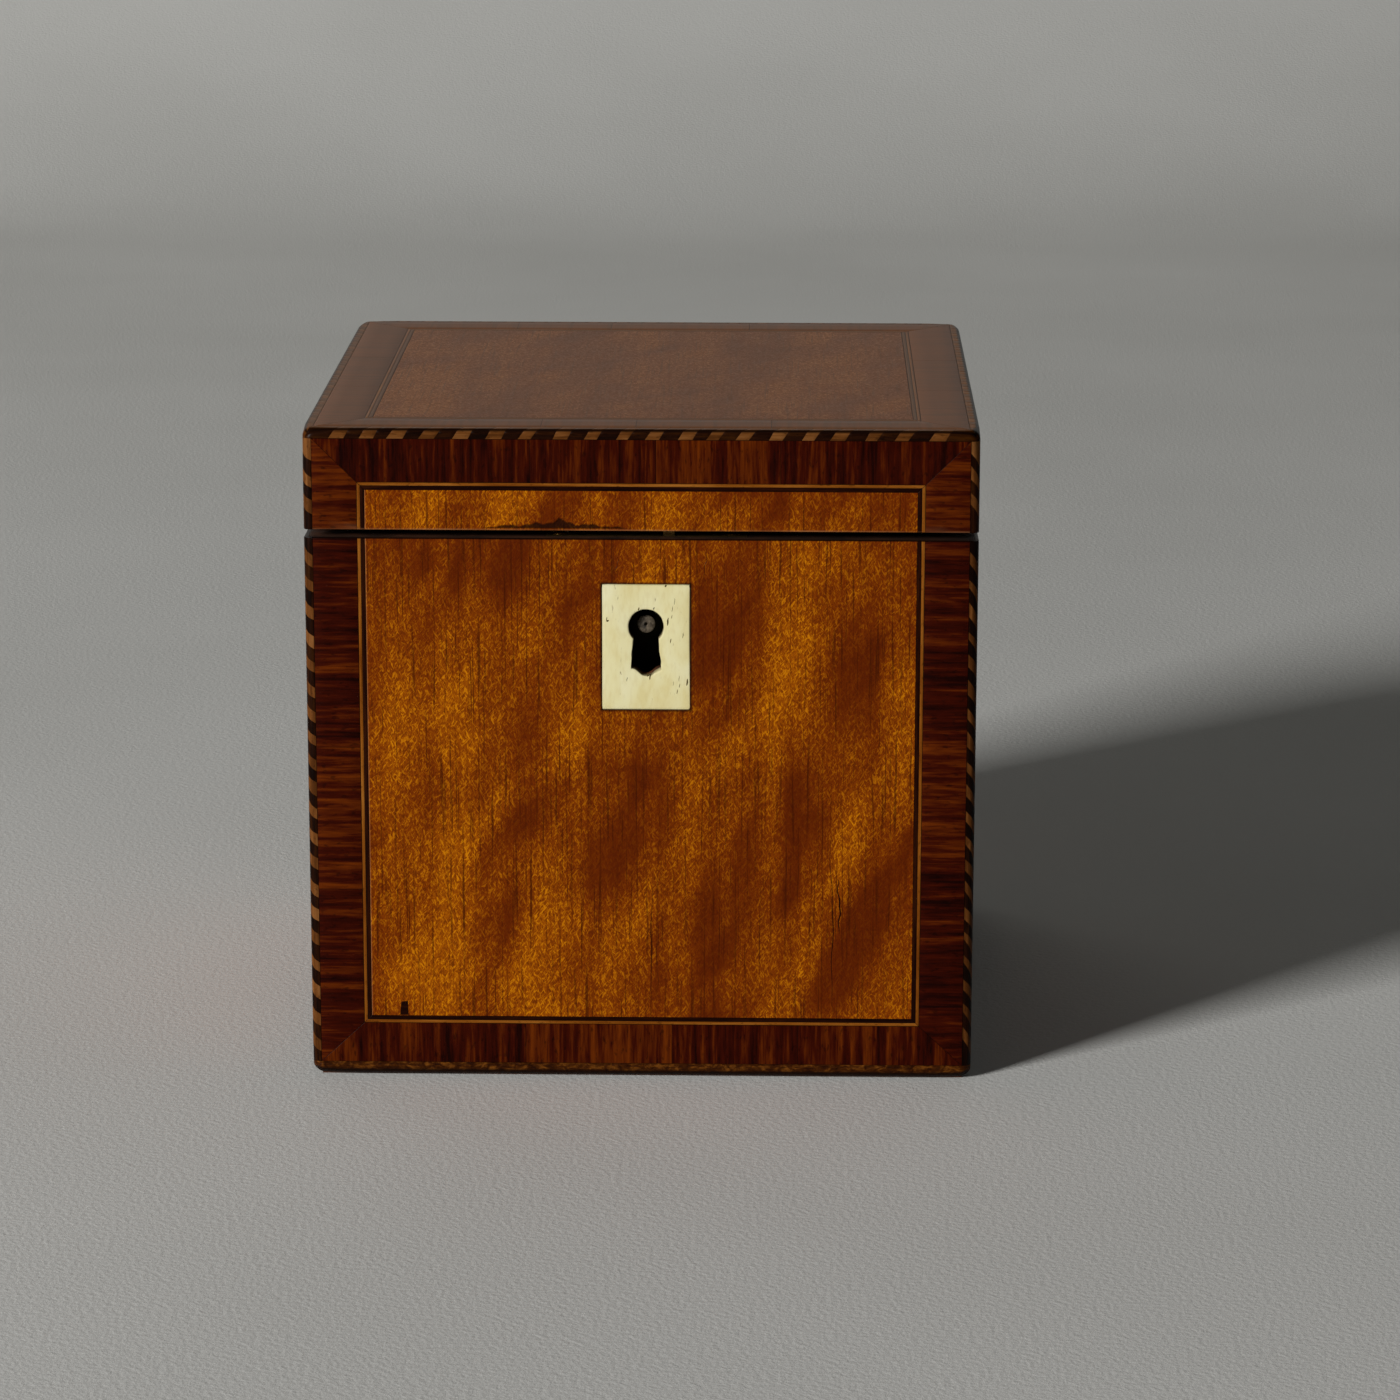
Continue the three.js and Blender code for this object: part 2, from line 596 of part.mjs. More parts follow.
for (const [side, x] of [["left", -HINGE_SPREAD], ["right", HINGE_SPREAD]]) {
  const hinge = new THREE.Group();
  hinge.position.set(x, AXIS_Y, AXIS_Z);
  caddy.add(hinge);
  const pin = rod(HINGE_PIN_RADIUS, -HINGE_LENGTH / 2, HINGE_LENGTH / 2, 0, 0, 16);
  add(`${side}_hinge_body_leaf`, hingeLeaf(0, -1), "brass", hinge);
  add(`${side}_hinge_lid_leaf`, hingeLeaf(1, 1), "brass", hinge);
  add(`${side}_hinge_pin`, pin, "brass", hinge);
}

// ---------------------------------------------------------------- lined inside and inner lid

function liner() {
  const [x, y] = [INSIDE_X - LINER_CLEARANCE, INSIDE_Y - LINER_CLEARANCE];
  const foot = FLOOR + GLUE;
  const shell = block([-x, x], [-y, y], [foot, LINER_RIM]);
  const room = block(
    [LINER_WALL - x, x - LINER_WALL],
    [LINER_WALL - y, y - LINER_WALL],
    [foot + LINER_WALL, LINER_RIM + 1],
  );
  return cut(shell, room);
}

const INNER_LID_FOOT = LINER_RIM + GLUE;
const INNER_LID_TOP = INNER_LID_FOOT + INNER_LID_THICKNESS;

function innerLid() {
  const [x, y] = [INSIDE_X - INNER_LID_CLEARANCE, INSIDE_Y - INNER_LID_CLEARANCE];
  const board = block([-x, x], [-y, y], [INNER_LID_FOOT, INNER_LID_TOP]);
  const depth = KNOB_TENON_LENGTH + GLUE;
  const hole = new THREE.CylinderGeometry(KNOB_TENON + GLUE, KNOB_TENON + GLUE, depth + 1, 20);
  hole.rotateX(Math.PI / 2).translate(0, 0, INNER_LID_TOP - depth + (depth + 1) / 2);
  return cut(board, hole);
}

// The knob's half profile, turned about Z: tenon, foot, waist and round head.
function knob() {
  const foot = GLUE;
  const headMiddle = foot + KNOB_HEIGHT - KNOB_HEAD_RISE;
  const profile = [
    [0, -KNOB_TENON_LENGTH],
    [KNOB_TENON, -KNOB_TENON_LENGTH],
    [KNOB_TENON, foot],
    [KNOB_FOOT, foot],
    [KNOB_FOOT, foot + KNOB_FOOT_RISE],
    [KNOB_WAIST + KNOB_FILLET / 2, foot + KNOB_FOOT_RISE + KNOB_FILLET],
    [KNOB_WAIST, foot + KNOB_WAIST_RISE],
  ];
  const steps = 6;
  const [fromTurn, toTurn] = [-40, 90]; // degrees round the head, from its neck to its crown
  for (let i = 0; i <= steps; i++) {
    const turn = THREE.MathUtils.degToRad(fromTurn + ((toTurn - fromTurn) * i) / steps);
    const round = i === steps ? 0 : KNOB_HEAD * Math.cos(turn);
    profile.push([round, headMiddle + KNOB_HEAD_RISE * Math.sin(turn)]);
  }
  const points = profile.map(([r, z]) => new THREE.Vector2(r, z));
  return new THREE.LatheGeometry(points, 24).rotateX(Math.PI / 2);
}

add("tea_liner", liner(), "teaLead");
add("inner_lid", innerLid(), "mahogany");

const knobPlace = new THREE.Group();
knobPlace.position.z = INNER_LID_TOP;
caddy.add(knobPlace);
add("inner_lid_knob", knob(), "bone", knobPlace);

export default caddy;
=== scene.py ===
# %% [markdown]
# # A satinwood tea caddy, piece by piece
# The caddy is a cube of plain mahogany boards under a skin of thin veneers: a mottled satinwood panel on
# each face, a frame of dark crossband, a pair of fine lines between them and a striped rope edging on the
# arrises. The boards, hinges and lock come from the design as they are. Everything that is seen from
# outside is made again here as its own small piece of wood, bone or brass, laid where the design has it.

# %% The frame
import math

import bpy
import numpy as np
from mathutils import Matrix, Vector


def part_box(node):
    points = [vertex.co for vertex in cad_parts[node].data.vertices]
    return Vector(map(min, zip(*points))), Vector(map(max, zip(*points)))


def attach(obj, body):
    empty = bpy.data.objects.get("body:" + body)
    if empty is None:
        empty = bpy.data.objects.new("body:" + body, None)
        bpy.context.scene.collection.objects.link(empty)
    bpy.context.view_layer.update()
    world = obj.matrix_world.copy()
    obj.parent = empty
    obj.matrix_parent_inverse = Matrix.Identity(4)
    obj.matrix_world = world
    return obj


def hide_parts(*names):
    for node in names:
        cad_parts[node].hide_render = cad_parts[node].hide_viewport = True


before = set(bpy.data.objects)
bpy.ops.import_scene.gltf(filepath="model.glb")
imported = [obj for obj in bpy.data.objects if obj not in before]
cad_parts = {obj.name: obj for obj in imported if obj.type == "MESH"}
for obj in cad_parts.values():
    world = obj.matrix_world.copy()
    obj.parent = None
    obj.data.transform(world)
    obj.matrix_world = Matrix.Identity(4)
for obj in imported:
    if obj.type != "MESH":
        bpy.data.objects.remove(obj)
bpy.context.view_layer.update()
MM = 0.001


def corners(node):
    lo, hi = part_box(node)
    return np.array(lo), np.array(hi)


TOP_Z = corners("lid_top_rope_edging")[1][2]
RIM_Z = corners("front_wall")[1][2]
LID_Z = corners("lid_front_rail")[0][2]
HALF = corners("lid_top_rope_edging")[1][0]  # half the cube's width
FOOT_Z = corners("base_edging")[0][2]
LOCK_LO, LOCK_HI = corners("lock_case")
LOCK_X = (LOCK_LO[0] + LOCK_HI[0]) / 2
print("cube", round(2 * HALF / MM, 2), "mm wide,", round(TOP_Z / MM, 2), "mm high")

# %% [markdown]
# ## The camera
# The lens stands 15 cm above the lid and 26 mm right of centre, far enough away that the sides of the
# cube hardly converge. A long lens does that: 122 mm on a full frame, looking 14 degrees down.

# %% The camera
EYE = (26.0 * MM, -885.7 * MM, 271.9 * MM)
LENS = 122.2
LOOK_DOWN = math.radians(13.673)
LOOK_LEFT = math.radians(1.096)
ROLL = math.radians(-0.1)

camera_data = bpy.data.cameras.new("camera")
camera_data.lens = LENS
camera_data.sensor_width = 36.0
camera_data.clip_start = 0.01
camera = bpy.data.objects.new("camera", camera_data)
camera.location = EYE
camera.rotation_euler = (math.pi / 2 - LOOK_DOWN, ROLL, LOOK_LEFT)
bpy.context.scene.collection.objects.link(camera)
bpy.context.scene.camera = camera
print("lens", LENS, "mm, eye at", EYE)

# %% [markdown]
# ## Material recipes
# Every finish below is a handful of nodes: noise stretched along the grain, ramps that turn it into
# colour, and a little bump. A short class keeps the wiring readable. Woods read the piece's own UV map
# called grain, in metres: its first number runs across the grain and its second along it, so that one
# recipe serves a panel, a mitred band and a stick alike. Metals and bone read Object coordinates.


# %% A recipe for a material
class Recipe:
    """One material's node tree, with short words for the few nodes that the finishes use."""

    def __init__(self, name, roughness, **constants):
        self.material = bpy.data.materials.new(name)
        self.material.use_nodes = True
        self.tree = self.material.node_tree
        self.tree.nodes.clear()
        self.shader = self.add("ShaderNodeBsdfPrincipled")
        output = self.add("ShaderNodeOutputMaterial")
        self.join(self.shader.outputs["BSDF"], output.inputs["Surface"])
        self.shader.inputs["Roughness"].default_value = roughness
        for socket, value in constants.items():
            self.shader.inputs[socket.replace("_", " ")].default_value = value

    def add(self, kind, **settings):
        node = self.tree.nodes.new(kind)
        for key, value in settings.items():
            setattr(node, key, value)
        return node

    def join(self, source, target):
        self.tree.links.new(source, target)

    def put(self, value, target):
        """Links a socket, or sets a number or a colour."""
        if isinstance(value, bpy.types.NodeSocket):
            self.join(value, target)
        else:
            target.default_value = value

    def mapped(self, source, scale, turn=0.0):
        """Turns a vector about z, then squeezes it, so that a squeezed pattern leans by the turn."""
        for setting, value in (("Rotation", (0.0, 0.0, math.radians(turn))), ("Scale", scale)):
            node = self.add("ShaderNodeMapping")
            node.inputs[setting].default_value = value
            self.join(source, node.inputs["Vector"])
            source = node.outputs["Vector"]
        return source

    def grain(self, across=1.0, along=1.0, turn=0.0):
        """The grain map, squeezed across and along, turned by some degrees."""
        source = self.add("ShaderNodeUVMap", uv_map="grain").outputs["UV"]
        return self.mapped(source, (across, along, 1.0), turn)

    def place(self, scale=(1.0, 1.0, 1.0)):
        return self.mapped(self.add("ShaderNodeTexCoord").outputs["Object"], scale)

    def noise(self, vector, scale, detail=2.0, rough=0.5, distortion=0.0):
        node = self.add("ShaderNodeTexNoise")
        values = {"Scale": scale, "Detail": detail, "Roughness": rough, "Distortion": distortion}
        for socket, value in values.items():
            node.inputs[socket].default_value = value
        self.join(vector, node.inputs["Vector"])
        return node.outputs["Fac"]

    def note(self, name):
        """A number written on the piece's vertices."""
        return self.add("ShaderNodeAttribute", attribute_name=name).outputs["Fac"]

    def ramp(self, value, *stops):
        """Turns a number into a colour; each stop is a place and a colour or a grey."""
        node = self.add("ShaderNodeValToRGB")
        points = node.color_ramp.elements
        while len(points) < len(stops):
            points.new(0.5)
        for point, (at, colour) in zip(points, stops):
            point.position = at
            grey = isinstance(colour, (int, float))
            point.color = (colour, colour, colour, 1.0) if grey else (*colour, 1.0)
        self.put(value, node.inputs["Fac"])
        return node.outputs["Color"]

    def mix(self, share, first, second):
        """first where share is 0, second where it is 1."""
        node = self.add("ShaderNodeMix", data_type="RGBA")
        self.put(share, node.inputs[0])
        for value, socket in ((first, node.inputs[6]), (second, node.inputs[7])):
            self.put((*value, 1.0) if isinstance(value, tuple) else value, socket)
        return node.outputs[2]

    def sum(self, *terms):
        """Adds numbers, each given as (socket, weight)."""
        total = None
        for socket, weight in terms:
            node = self.add("ShaderNodeMath", operation="MULTIPLY_ADD")
            self.put(socket, node.inputs[0])
            node.inputs[1].default_value = weight
            self.put(0.0 if total is None else total, node.inputs[2])
            total = node.outputs[0]
        return total

    def times(self, first, second, how="MULTIPLY"):
        node = self.add("ShaderNodeMath", operation=how)
        self.put(first, node.inputs[0])
        self.put(second, node.inputs[1])
        return node.outputs[0]

    def done(self, colour, roughness=None, height=None, depth=0.02 * MM):
        """Wires the colour, and if given the roughness and a bump of that depth in metres."""
        self.put(colour, self.shader.inputs["Base Color"])
        if roughness is not None:
            self.put(roughness, self.shader.inputs["Roughness"])
        if height is not None:
            bump = self.add("ShaderNodeBump")
            bump.inputs["Strength"].default_value = 1.0
            bump.inputs["Distance"].default_value = depth
            self.join(height, bump.inputs["Height"])
            self.join(bump.outputs["Normal"], self.shader.inputs["Normal"])
        return self.material


POLISH = {"IOR": 1.12}  # low, because the old polish mirrors little of the room
print("recipes ready")

# %% [markdown]
# ## Satinwood
# Satinwood is amber, with a figure in several sizes: upright ribbons and leaning clouds as wide as a
# thumb, faint stripes along the grain, and a shimmer of short bright squiggles less than a millimetre
# wide that makers call bee's wing. Each is one noise. The clouds set the tone, the squiggles lift and sink
# it, and thin dark pores run along the grain. The vertices note tone (the leaf's own shade), faded (paled by
# daylight, as the whole top is), wear and light (bare where rubbed, and painted pale as a highlight where
# an edge catches the light) and dirt and shade (old dirt, and shade painted dark in gaps and hollows).


# %% Satinwood
PALED = (0.2, 0.066, 0.004)
# Near black, for old dirt and for shade painted into gaps, hollows and the keyhole
GRIME_AND_SHADE = (0.006, 0.002, 0.001)


def worn_and_hurt(r, colour, bare):
    """Wood paled by daylight; pale where the polish is rubbed away and where a highlight is painted; and
    black where dirt lies and where shade is painted.
    """
    paled = r.mix(r.note("faded"), colour, PALED)
    return r.mix(r.note("hurt"), r.mix(r.note("worn_and_lit"), paled, bare), GRIME_AND_SHADE)


def satinwood():
    r = Recipe("satinwood", 0.36, **POLISH)
    ribbons = r.noise(r.grain(1.0, 0.16, 5.0), 95.0, 1.0, 0.5, 0.2)
    clouds = r.noise(r.grain(1.0, 0.4, 32.0), 62.0, 2.0, 0.5, 0.6)
    ripple = r.noise(r.grain(1.0, 0.3, 38.0), 170.0, 2.0, 0.5, 0.5)
    stripes = r.noise(r.grain(1.0, 0.02), 260.0, 4.0, 0.6)
    leaning = [r.noise(r.grain(1.0, 0.27, turn), 3000.0, 1.0, 0.5, 1.1) for turn in (32.0, -20.0)]
    wing = r.times(*leaning, "MAXIMUM")
    pores = r.noise(r.grain(1.0, 0.02), 2300.0, 2.0, 0.6)
    figure = r.sum((ribbons, 0.46), (clouds, 0.46), (ripple, 0.24), (stripes, 0.26))
    tone = r.sum((figure, 1.0), (r.note("tone"), 0.3), (1.0, -0.19))
    body = r.ramp(
        tone,
        (0.37, (0.095, 0.012, 0.0002)),
        (0.46, (0.145, 0.022, 0.0002)),
        (0.55, (0.2, 0.037, 0.0003)),
        (0.66, (0.28, 0.063, 0.0004)),
    )
    lit = r.ramp(wing, (0.57, 0.0), (0.7, 1.0))
    sunk = r.ramp(wing, (0.42, 1.0), (0.53, 0.0))
    strong = r.ramp(tone, (0.4, 0.05), (0.5, 0.4), (0.62, 0.85))  # most shimmer in the light parts
    lifted = r.mix(r.times(lit, strong), body, (0.56, 0.19, 0.002))
    shaded = r.mix(r.times(sunk, 0.55), lifted, (0.06, 0.008, 0.0002))
    lined = r.mix(r.ramp(pores, (0.34, 0.7), (0.45, 0.0)), shaded, (0.04, 0.005, 0.0002))
    rough = r.ramp(wing, (0.45, 0.42), (0.7, 0.3))
    finished = worn_and_hurt(r, lined, (0.42, 0.17, 0.06))
    return r.done(finished, rough, r.sum((wing, 0.5), (pores, 0.8)))


SATINWOOD = satinwood()
print(SATINWOOD.name)

# %% [markdown]
# ## Crossband, lines and edging
# The crossband is a dark rosewood, cut across the grain so that its streaks run from the edge inwards.
# The pair of lines is boxwood outside and ebony inside. The rope edging repeats the same two woods in
# slanted blocks. All are streaks along the grain, at their own scale and colours.


# %% The darker and finer woods
def streaked(name, dark, middle, light, scale, bend=0.25, roughness=0.34, slim=0.045, depth=0.015 * MM):
    """A wood of streaks along the grain: broad ones for colour, fine ones for pores. slim is how far the
    broad ones are drawn out, and bend how much they wander."""
    r = Recipe(name, roughness, **POLISH)
    broad = r.noise(r.grain(1.0, slim), scale, 4.0, 0.62, bend)
    fine = r.noise(r.grain(1.0, 0.1), scale * 3.1, 2.0, 0.6, 0.3)
    specks = r.noise(r.grain(1.0, 0.4), scale * 2.2, 2.0, 0.5)
    tone = r.sum((broad, 0.75), (fine, 0.25), (r.note("tone"), 0.3))
    colour = r.ramp(tone, (0.35, dark), (0.5, middle), (0.67, light))
    pored = r.mix(r.ramp(specks, (0.3, 0.5), (0.4, 0.0)), colour, tuple(0.3 * c for c in dark))
    finished = worn_and_hurt(r, pored, (0.3, 0.12, 0.05))
    return r.done(finished, None, r.sum((fine, 1.0), (specks, 0.5)), depth)


CROSSBAND = streaked(
    "crossband", (0.008, 0.0006, 0.0001), (0.034, 0.0027, 0.0002), (0.115, 0.02, 0.0006), 640.0
)
BOXWOOD = streaked("boxwood", (0.12, 0.03, 0.002), (0.2, 0.06, 0.005), (0.3, 0.11, 0.015), 900.0)
EBONY = streaked("ebony", (0.004, 0.0006, 0.0003), (0.012, 0.002, 0.0005), (0.03, 0.006, 0.001), 900.0)
ROPE_LIGHT = streaked("rope_light", (0.06, 0.018, 0.003), (0.12, 0.04, 0.008), (0.2, 0.08, 0.022), 800.0)
ROPE_DARK = streaked("rope_dark", (0.004, 0.001, 0.0003), (0.013, 0.003, 0.0006), (0.035, 0.01, 0.001), 800.0)
BASE_COLOURS = ((0.012, 0.002, 0.0004), (0.045, 0.011, 0.001), (0.17, 0.055, 0.006))
BASE_WOOD = streaked("base_edging", *BASE_COLOURS, 900.0, bend=0.8, roughness=0.4, slim=0.6, depth=0.25 * MM)
print("woods:", [m.name for m in (CROSSBAND, BOXWOOD, EBONY, ROPE_LIGHT, ROPE_DARK, BASE_WOOD)])

# %% [markdown]
# ## Plain mahogany, bone, metals and tea lead
# The boards come straight from the design and have no grain map, so their wood reads Object
# coordinates: rings of noise stretched along the board. Bone has a creamy ground, yellow clouds and thin
# dark pores that run one way. Brass and steel are old: blotches of tarnish change both the colour and the
# roughness. Tea lead is dull, with pale oxide. Round the keyhole the wood, the lock and the bone are
# painted nearly black, as the shade inside the hole with some old dirt, and the body's rim is painted
# black as the shade in the gap under the lid.


# %% Plain materials on Object coordinates
KEYHOLE_CENTRE = (LOCK_X, -HALF + 4.0 * MM, RIM_Z - 15.9 * MM)  # in the round of the keyhole, behind the bone


def keyhole_shade_and_dirt(r, reach):
    """1 within reach of the keyhole, 0 a little further out: where the keyhole is painted dark as the shade
    inside it, with some old dirt.
    """
    node = r.add("ShaderNodeVectorMath", operation="DISTANCE")
    r.join(r.place(), node.inputs[0])
    node.inputs[1].default_value = KEYHOLE_CENTRE
    share = r.sum((node.outputs["Value"], 1 / reach), (1.0, -0.5))
    return r.ramp(share, (0.45, 1.0), (0.6, 0.0))


def rim_gap_shade(r):
    """Near 1 in patches on the body's rim, where the wood is painted black as the shade in the gap under the
    lid. share counts millimetres up from a little below the rim, and the ramp lets only the rim itself
    through."""
    node = r.add("ShaderNodeSeparateXYZ")
    r.join(r.place(), node.inputs[0])
    share = r.sum((node.outputs["Z"], 1 / MM), (1.0, -(RIM_Z - 0.6 * MM) / MM))
    patchy = r.ramp(r.noise(r.place(), 160.0, 3.0, 0.6), (0.35, 0.9), (0.65, 0.55))
    return r.times(r.ramp(share, (0.2, 0.0), (0.55, 1.0), (0.8, 1.0), (0.95, 0.0)), patchy)


def mahogany(name, stretch, dark, light, roughness=0.55, shade_and_grime=True):
    """Boards with their grain along the axis that stretch squeezes. Unless told not to, they are painted
    dark round the keyhole, as the shade inside it with some old dirt, and black on the rim as the shade in
    the gap under the lid.
    """
    r = Recipe(name, roughness, IOR=1.4)
    broad = r.noise(r.place(stretch), 260.0, 4.0, 0.6, 0.6)
    pores = r.noise(r.place(tuple(s if s > 0.5 else 0.05 for s in stretch)), 1500.0, 2.0, 0.6)
    colour = r.ramp(broad, (0.35, dark), (0.68, light))
    pored = r.mix(r.ramp(pores, (0.33, 0.7), (0.45, 0.0)), colour, tuple(0.35 * c for c in dark))
    if shade_and_grime:
        # Painted near black: the shade inside the keyhole and in the gap under the lid
        for share in (keyhole_shade_and_dirt(r, 8.0 * MM), rim_gap_shade(r)):
            pored = r.mix(share, pored, (0.005, 0.003, 0.002))
    return r.done(pored, None, r.sum((broad, 0.4), (pores, 1.0)), 0.03 * MM)


def bone():
    r = Recipe("bone", 0.38, IOR=1.45)
    clouds = r.noise(r.place((1.0, 1.0, 0.45)), 210.0, 3.0, 0.55, 0.3)
    fine = r.noise(r.place((1.0, 1.0, 0.3)), 1500.0, 2.0)
    pores = r.noise(r.place((1.0, 1.0, 0.22)), 2100.0, 2.0, 0.55, 0.4)
    where = r.ramp(r.noise(r.place(), 330.0, 1.0), (0.47, 0.0), (0.6, 1.0))
    creams = (0.34, (0.67, 0.58, 0.28)), (0.5, (0.72, 0.655, 0.36)), (0.68, (0.75, 0.7, 0.43))
    ground = r.ramp(clouds, *creams)
    soft = r.mix(r.times(r.ramp(fine, (0.35, 1.0), (0.5, 0.0)), 0.14), ground, (0.5, 0.36, 0.12))
    pits = r.times(r.ramp(pores, (0.28, 0.6), (0.34, 0.0)), where)
    colour = r.mix(pits, soft, (0.12, 0.06, 0.01))
    # The keyhole's walls and the plate's edges are painted dark as shade, lighter where the light reaches in
    shade_and_grime = r.mix(r.note("hurt"), colour, (0.07, 0.035, 0.008))
    return r.done(shade_and_grime, None, r.sum((pits, -1.0), (fine, 0.15)), 0.05 * MM)


def metal(name, bright, tarnish, scale=180.0, smooth=0.3, dull=0.55, metallic=1.0, keyhole_shade_reach=None):
    """Old metal: bare where rubbed, tarnished in clouds, and, when a reach is given, painted dark near the
    keyhole as the shade inside it, with some old dirt.
    """
    r = Recipe(name, smooth, Metallic=metallic)
    clouds = r.noise(r.place(), scale, 4.0, 0.65, 0.5)
    scratches = r.noise(r.place((1.0, 0.15, 1.0)), scale * 12.0, 2.0)
    colour = r.ramp(clouds, (0.38, tarnish), (0.62, bright))
    rough = r.ramp(clouds, (0.38, dull), (0.64, smooth))
    if keyhole_shade_reach:
        colour = r.mix(keyhole_shade_and_dirt(r, keyhole_shade_reach), colour, (0.006, 0.005, 0.002))
    # Painted dark as shade in screw slots and the pin's dent
    colour = r.mix(r.note("hurt"), colour, (0.01, 0.007, 0.004))
    return r.done(colour, rough, r.sum((scratches, 0.5), (clouds, 0.5)), 0.01 * MM)


BOARD_COLOURS = ((0.05, 0.014, 0.004), (0.16, 0.052, 0.016))
BOARD_WOODS = {
    "x": mahogany("mahogany_along_x", (0.06, 1.0, 1.0), *BOARD_COLOURS),
    "y": mahogany("mahogany_along_y", (1.0, 0.06, 1.0), *BOARD_COLOURS),
}
INNER_WOOD = mahogany(
    "inner_mahogany", (0.06, 1.0, 1.0), (0.07, 0.018, 0.004), (0.24, 0.075, 0.018), 0.34, False
)
BONE = bone()
OLD_DIRT = streaked("old_dirt", (0.02, 0.012, 0.002), (0.07, 0.045, 0.008), (0.15, 0.1, 0.025), 900.0)
BRASSY = ((0.5, 0.33, 0.12), (0.12, 0.07, 0.025))
BRASS = metal("old_brass", *BRASSY)
STEEL = metal("old_steel", (0.3, 0.27, 0.23), (0.06, 0.045, 0.035), 400.0, 0.35, 0.6)
# The lock behind the keyhole is painted dark as the shade inside the hole
LOCK_BRASS = metal("lock_brass", *BRASSY, keyhole_shade_reach=13 * MM)
PIN_STEEL = metal("drill_pin_iron", (0.15, 0.115, 0.075), (0.04, 0.027, 0.014), 1500.0, 0.5, 0.7, 0.2)
TEA_LEAD = metal("tea_lead", (0.36, 0.36, 0.35), (0.16, 0.16, 0.15), 120.0, 0.42, 0.7)
print("plain finishes ready")

# %% [markdown]
# ## Surfaces and solids
# All new pieces but the bone plate come out of three shapes, worked out as whole arrays. A slab is a grid
# of cells with a top, a bottom and walls wherever a kept cell meets a missing one, so it can have holes
# and notches. A bar is a closed outline carried along stations. A ringed piece is one outline, round or
# square, that grows and shrinks as it climbs: a turned knob, or a lining.


# %% Three ways to make a closed surface
def slab_cells(lines_a, lines_b, keep=None):
    """A grid of cells as a closed slab. Returns a, b and layer (1 top, 0 bottom) for each point, and faces.
    Top faces turn one way and bottom faces the other; a wall stands on each edge with one kept cell."""
    a, b = np.meshgrid(lines_a, lines_b, indexing="ij")
    index = np.arange(a.size).reshape(a.shape)
    kept = np.ones((len(lines_a) - 1, len(lines_b) - 1), bool)
    if keep is not None:
        middle_a = (lines_a[1:] + lines_a[:-1]) / 2
        middle_b = (lines_b[1:] + lines_b[:-1]) / 2
        kept = keep(middle_a[:, None], middle_b[None, :])
    top = np.stack([index[:-1, :-1], index[1:, :-1], index[1:, 1:], index[:-1, 1:]], -1)[kept]
    edge = np.pad(kept, 1)
    size = a.size
    walls = []
    for first, second, before, after, flip in (
        (index[:, :-1], index[:, 1:], edge[:-1, 1:-1], edge[1:, 1:-1], False),
        (index[:-1, :], index[1:, :], edge[1:-1, :-1], edge[1:-1, 1:], True),
    ):
        for start, end, there in ((first, second, after & ~before), (second, first, before & ~after)):
            p, q = (end[there], start[there]) if flip else (start[there], end[there])
            walls.append(np.stack([p, q, q + size, p + size], -1))
    faces = np.vstack([top, top[:, ::-1] + size] + walls)
    used, faces = np.unique(faces, return_inverse=True)
    faces = faces.reshape(-1, 4)
    both_a = np.concatenate([a.ravel(), a.ravel()])[used]
    both_b = np.concatenate([b.ravel(), b.ravel()])[used]
    return both_a, both_b, (used < size).astype(float), faces


def bar_faces(around, stations, outward=True):
    """Faces of a closed outline of so many points carried along so many stations, with a cap at each end.
    Point k of station j is number j * around + k."""
    k, j = np.meshgrid(np.arange(around), np.arange(stations - 1), indexing="ij")
    nxt = (k + 1) % around
    sides = np.stack([j * around + k, j * around + nxt, (j + 1) * around + nxt, (j + 1) * around + k], -1)
    sides = sides.reshape(-1, 4)
    caps = [np.arange(around)[::-1][None], (stations - 1) * around + np.arange(around)[None]]
    groups = [sides, *caps]
    return groups if outward else [g[:, ::-1] for g in groups]


def round_ring(steps):
    angle = np.arange(steps) * 2 * np.pi / steps
    return np.stack([np.cos(angle), np.sin(angle)], -1)


def square_ring(count):
    """A unit square with slightly round corners, anticlockwise, in even steps of angle."""
    c, s = round_ring(count).T
    return np.stack([c, s], -1) / np.maximum(np.abs(c), np.abs(s))[:, None] ** 0.985


def ringed(profile, ring):
    """Rings of one outline, scaled by the profile's size and lifted to its height. The profile starts and
    ends on the axis, and each end becomes one shared point."""
    profile = np.asarray(profile, float)
    body, count = profile[1:-1], len(ring)
    points = np.concatenate([np.column_stack([ring * size, np.full(count, z)]) for size, z in body])
    start, end = len(points), len(points) + 1
    points = np.vstack([points, [[0, 0, profile[0, 1]], [0, 0, profile[-1, 1]]]])
    row, step = np.meshgrid(np.arange(len(body) - 1) * count, np.arange(count), indexing="ij")
    nxt = (step + 1) % count
    sides = np.stack([row + step, row + nxt, row + count + nxt, row + count + step], -1).reshape(-1, 4)
    step, last = np.arange(count), start - count
    nxt = (step + 1) % count
    foot = np.stack([nxt, step, np.full(count, start)], -1)
    head = np.stack([last + step, last + nxt, np.full(count, end)], -1)
    return points, [sides, foot, head]


print("a slab of 2 by 2 cells has", len(slab_cells(np.arange(3.0), np.arange(3.0))[3]), "faces")

# %% [markdown]
# ## From arrays to a piece
# A piece is often many small solids of wood in one mesh. Each solid brings its points, faces, grain map,
# notes and finish number, and this cell stacks them, writes the mesh and hands it to its body.


# %% Building a piece
def solid(points, faces, grain=None, finish=0, **notes):
    """One closed solid: faces is an array or a list of arrays of faces with different corner counts."""
    groups = faces if isinstance(faces, list) else [faces]
    grain = np.zeros((len(points), 2)) if grain is None else grain
    return {"points": points, "faces": groups, "grain": grain, "finish": finish, "notes": notes}


NOTES = ("tone", "faded", "worn_and_lit", "hurt")
SHARP = math.radians(34)  # edges that turn more than this are drawn sharp


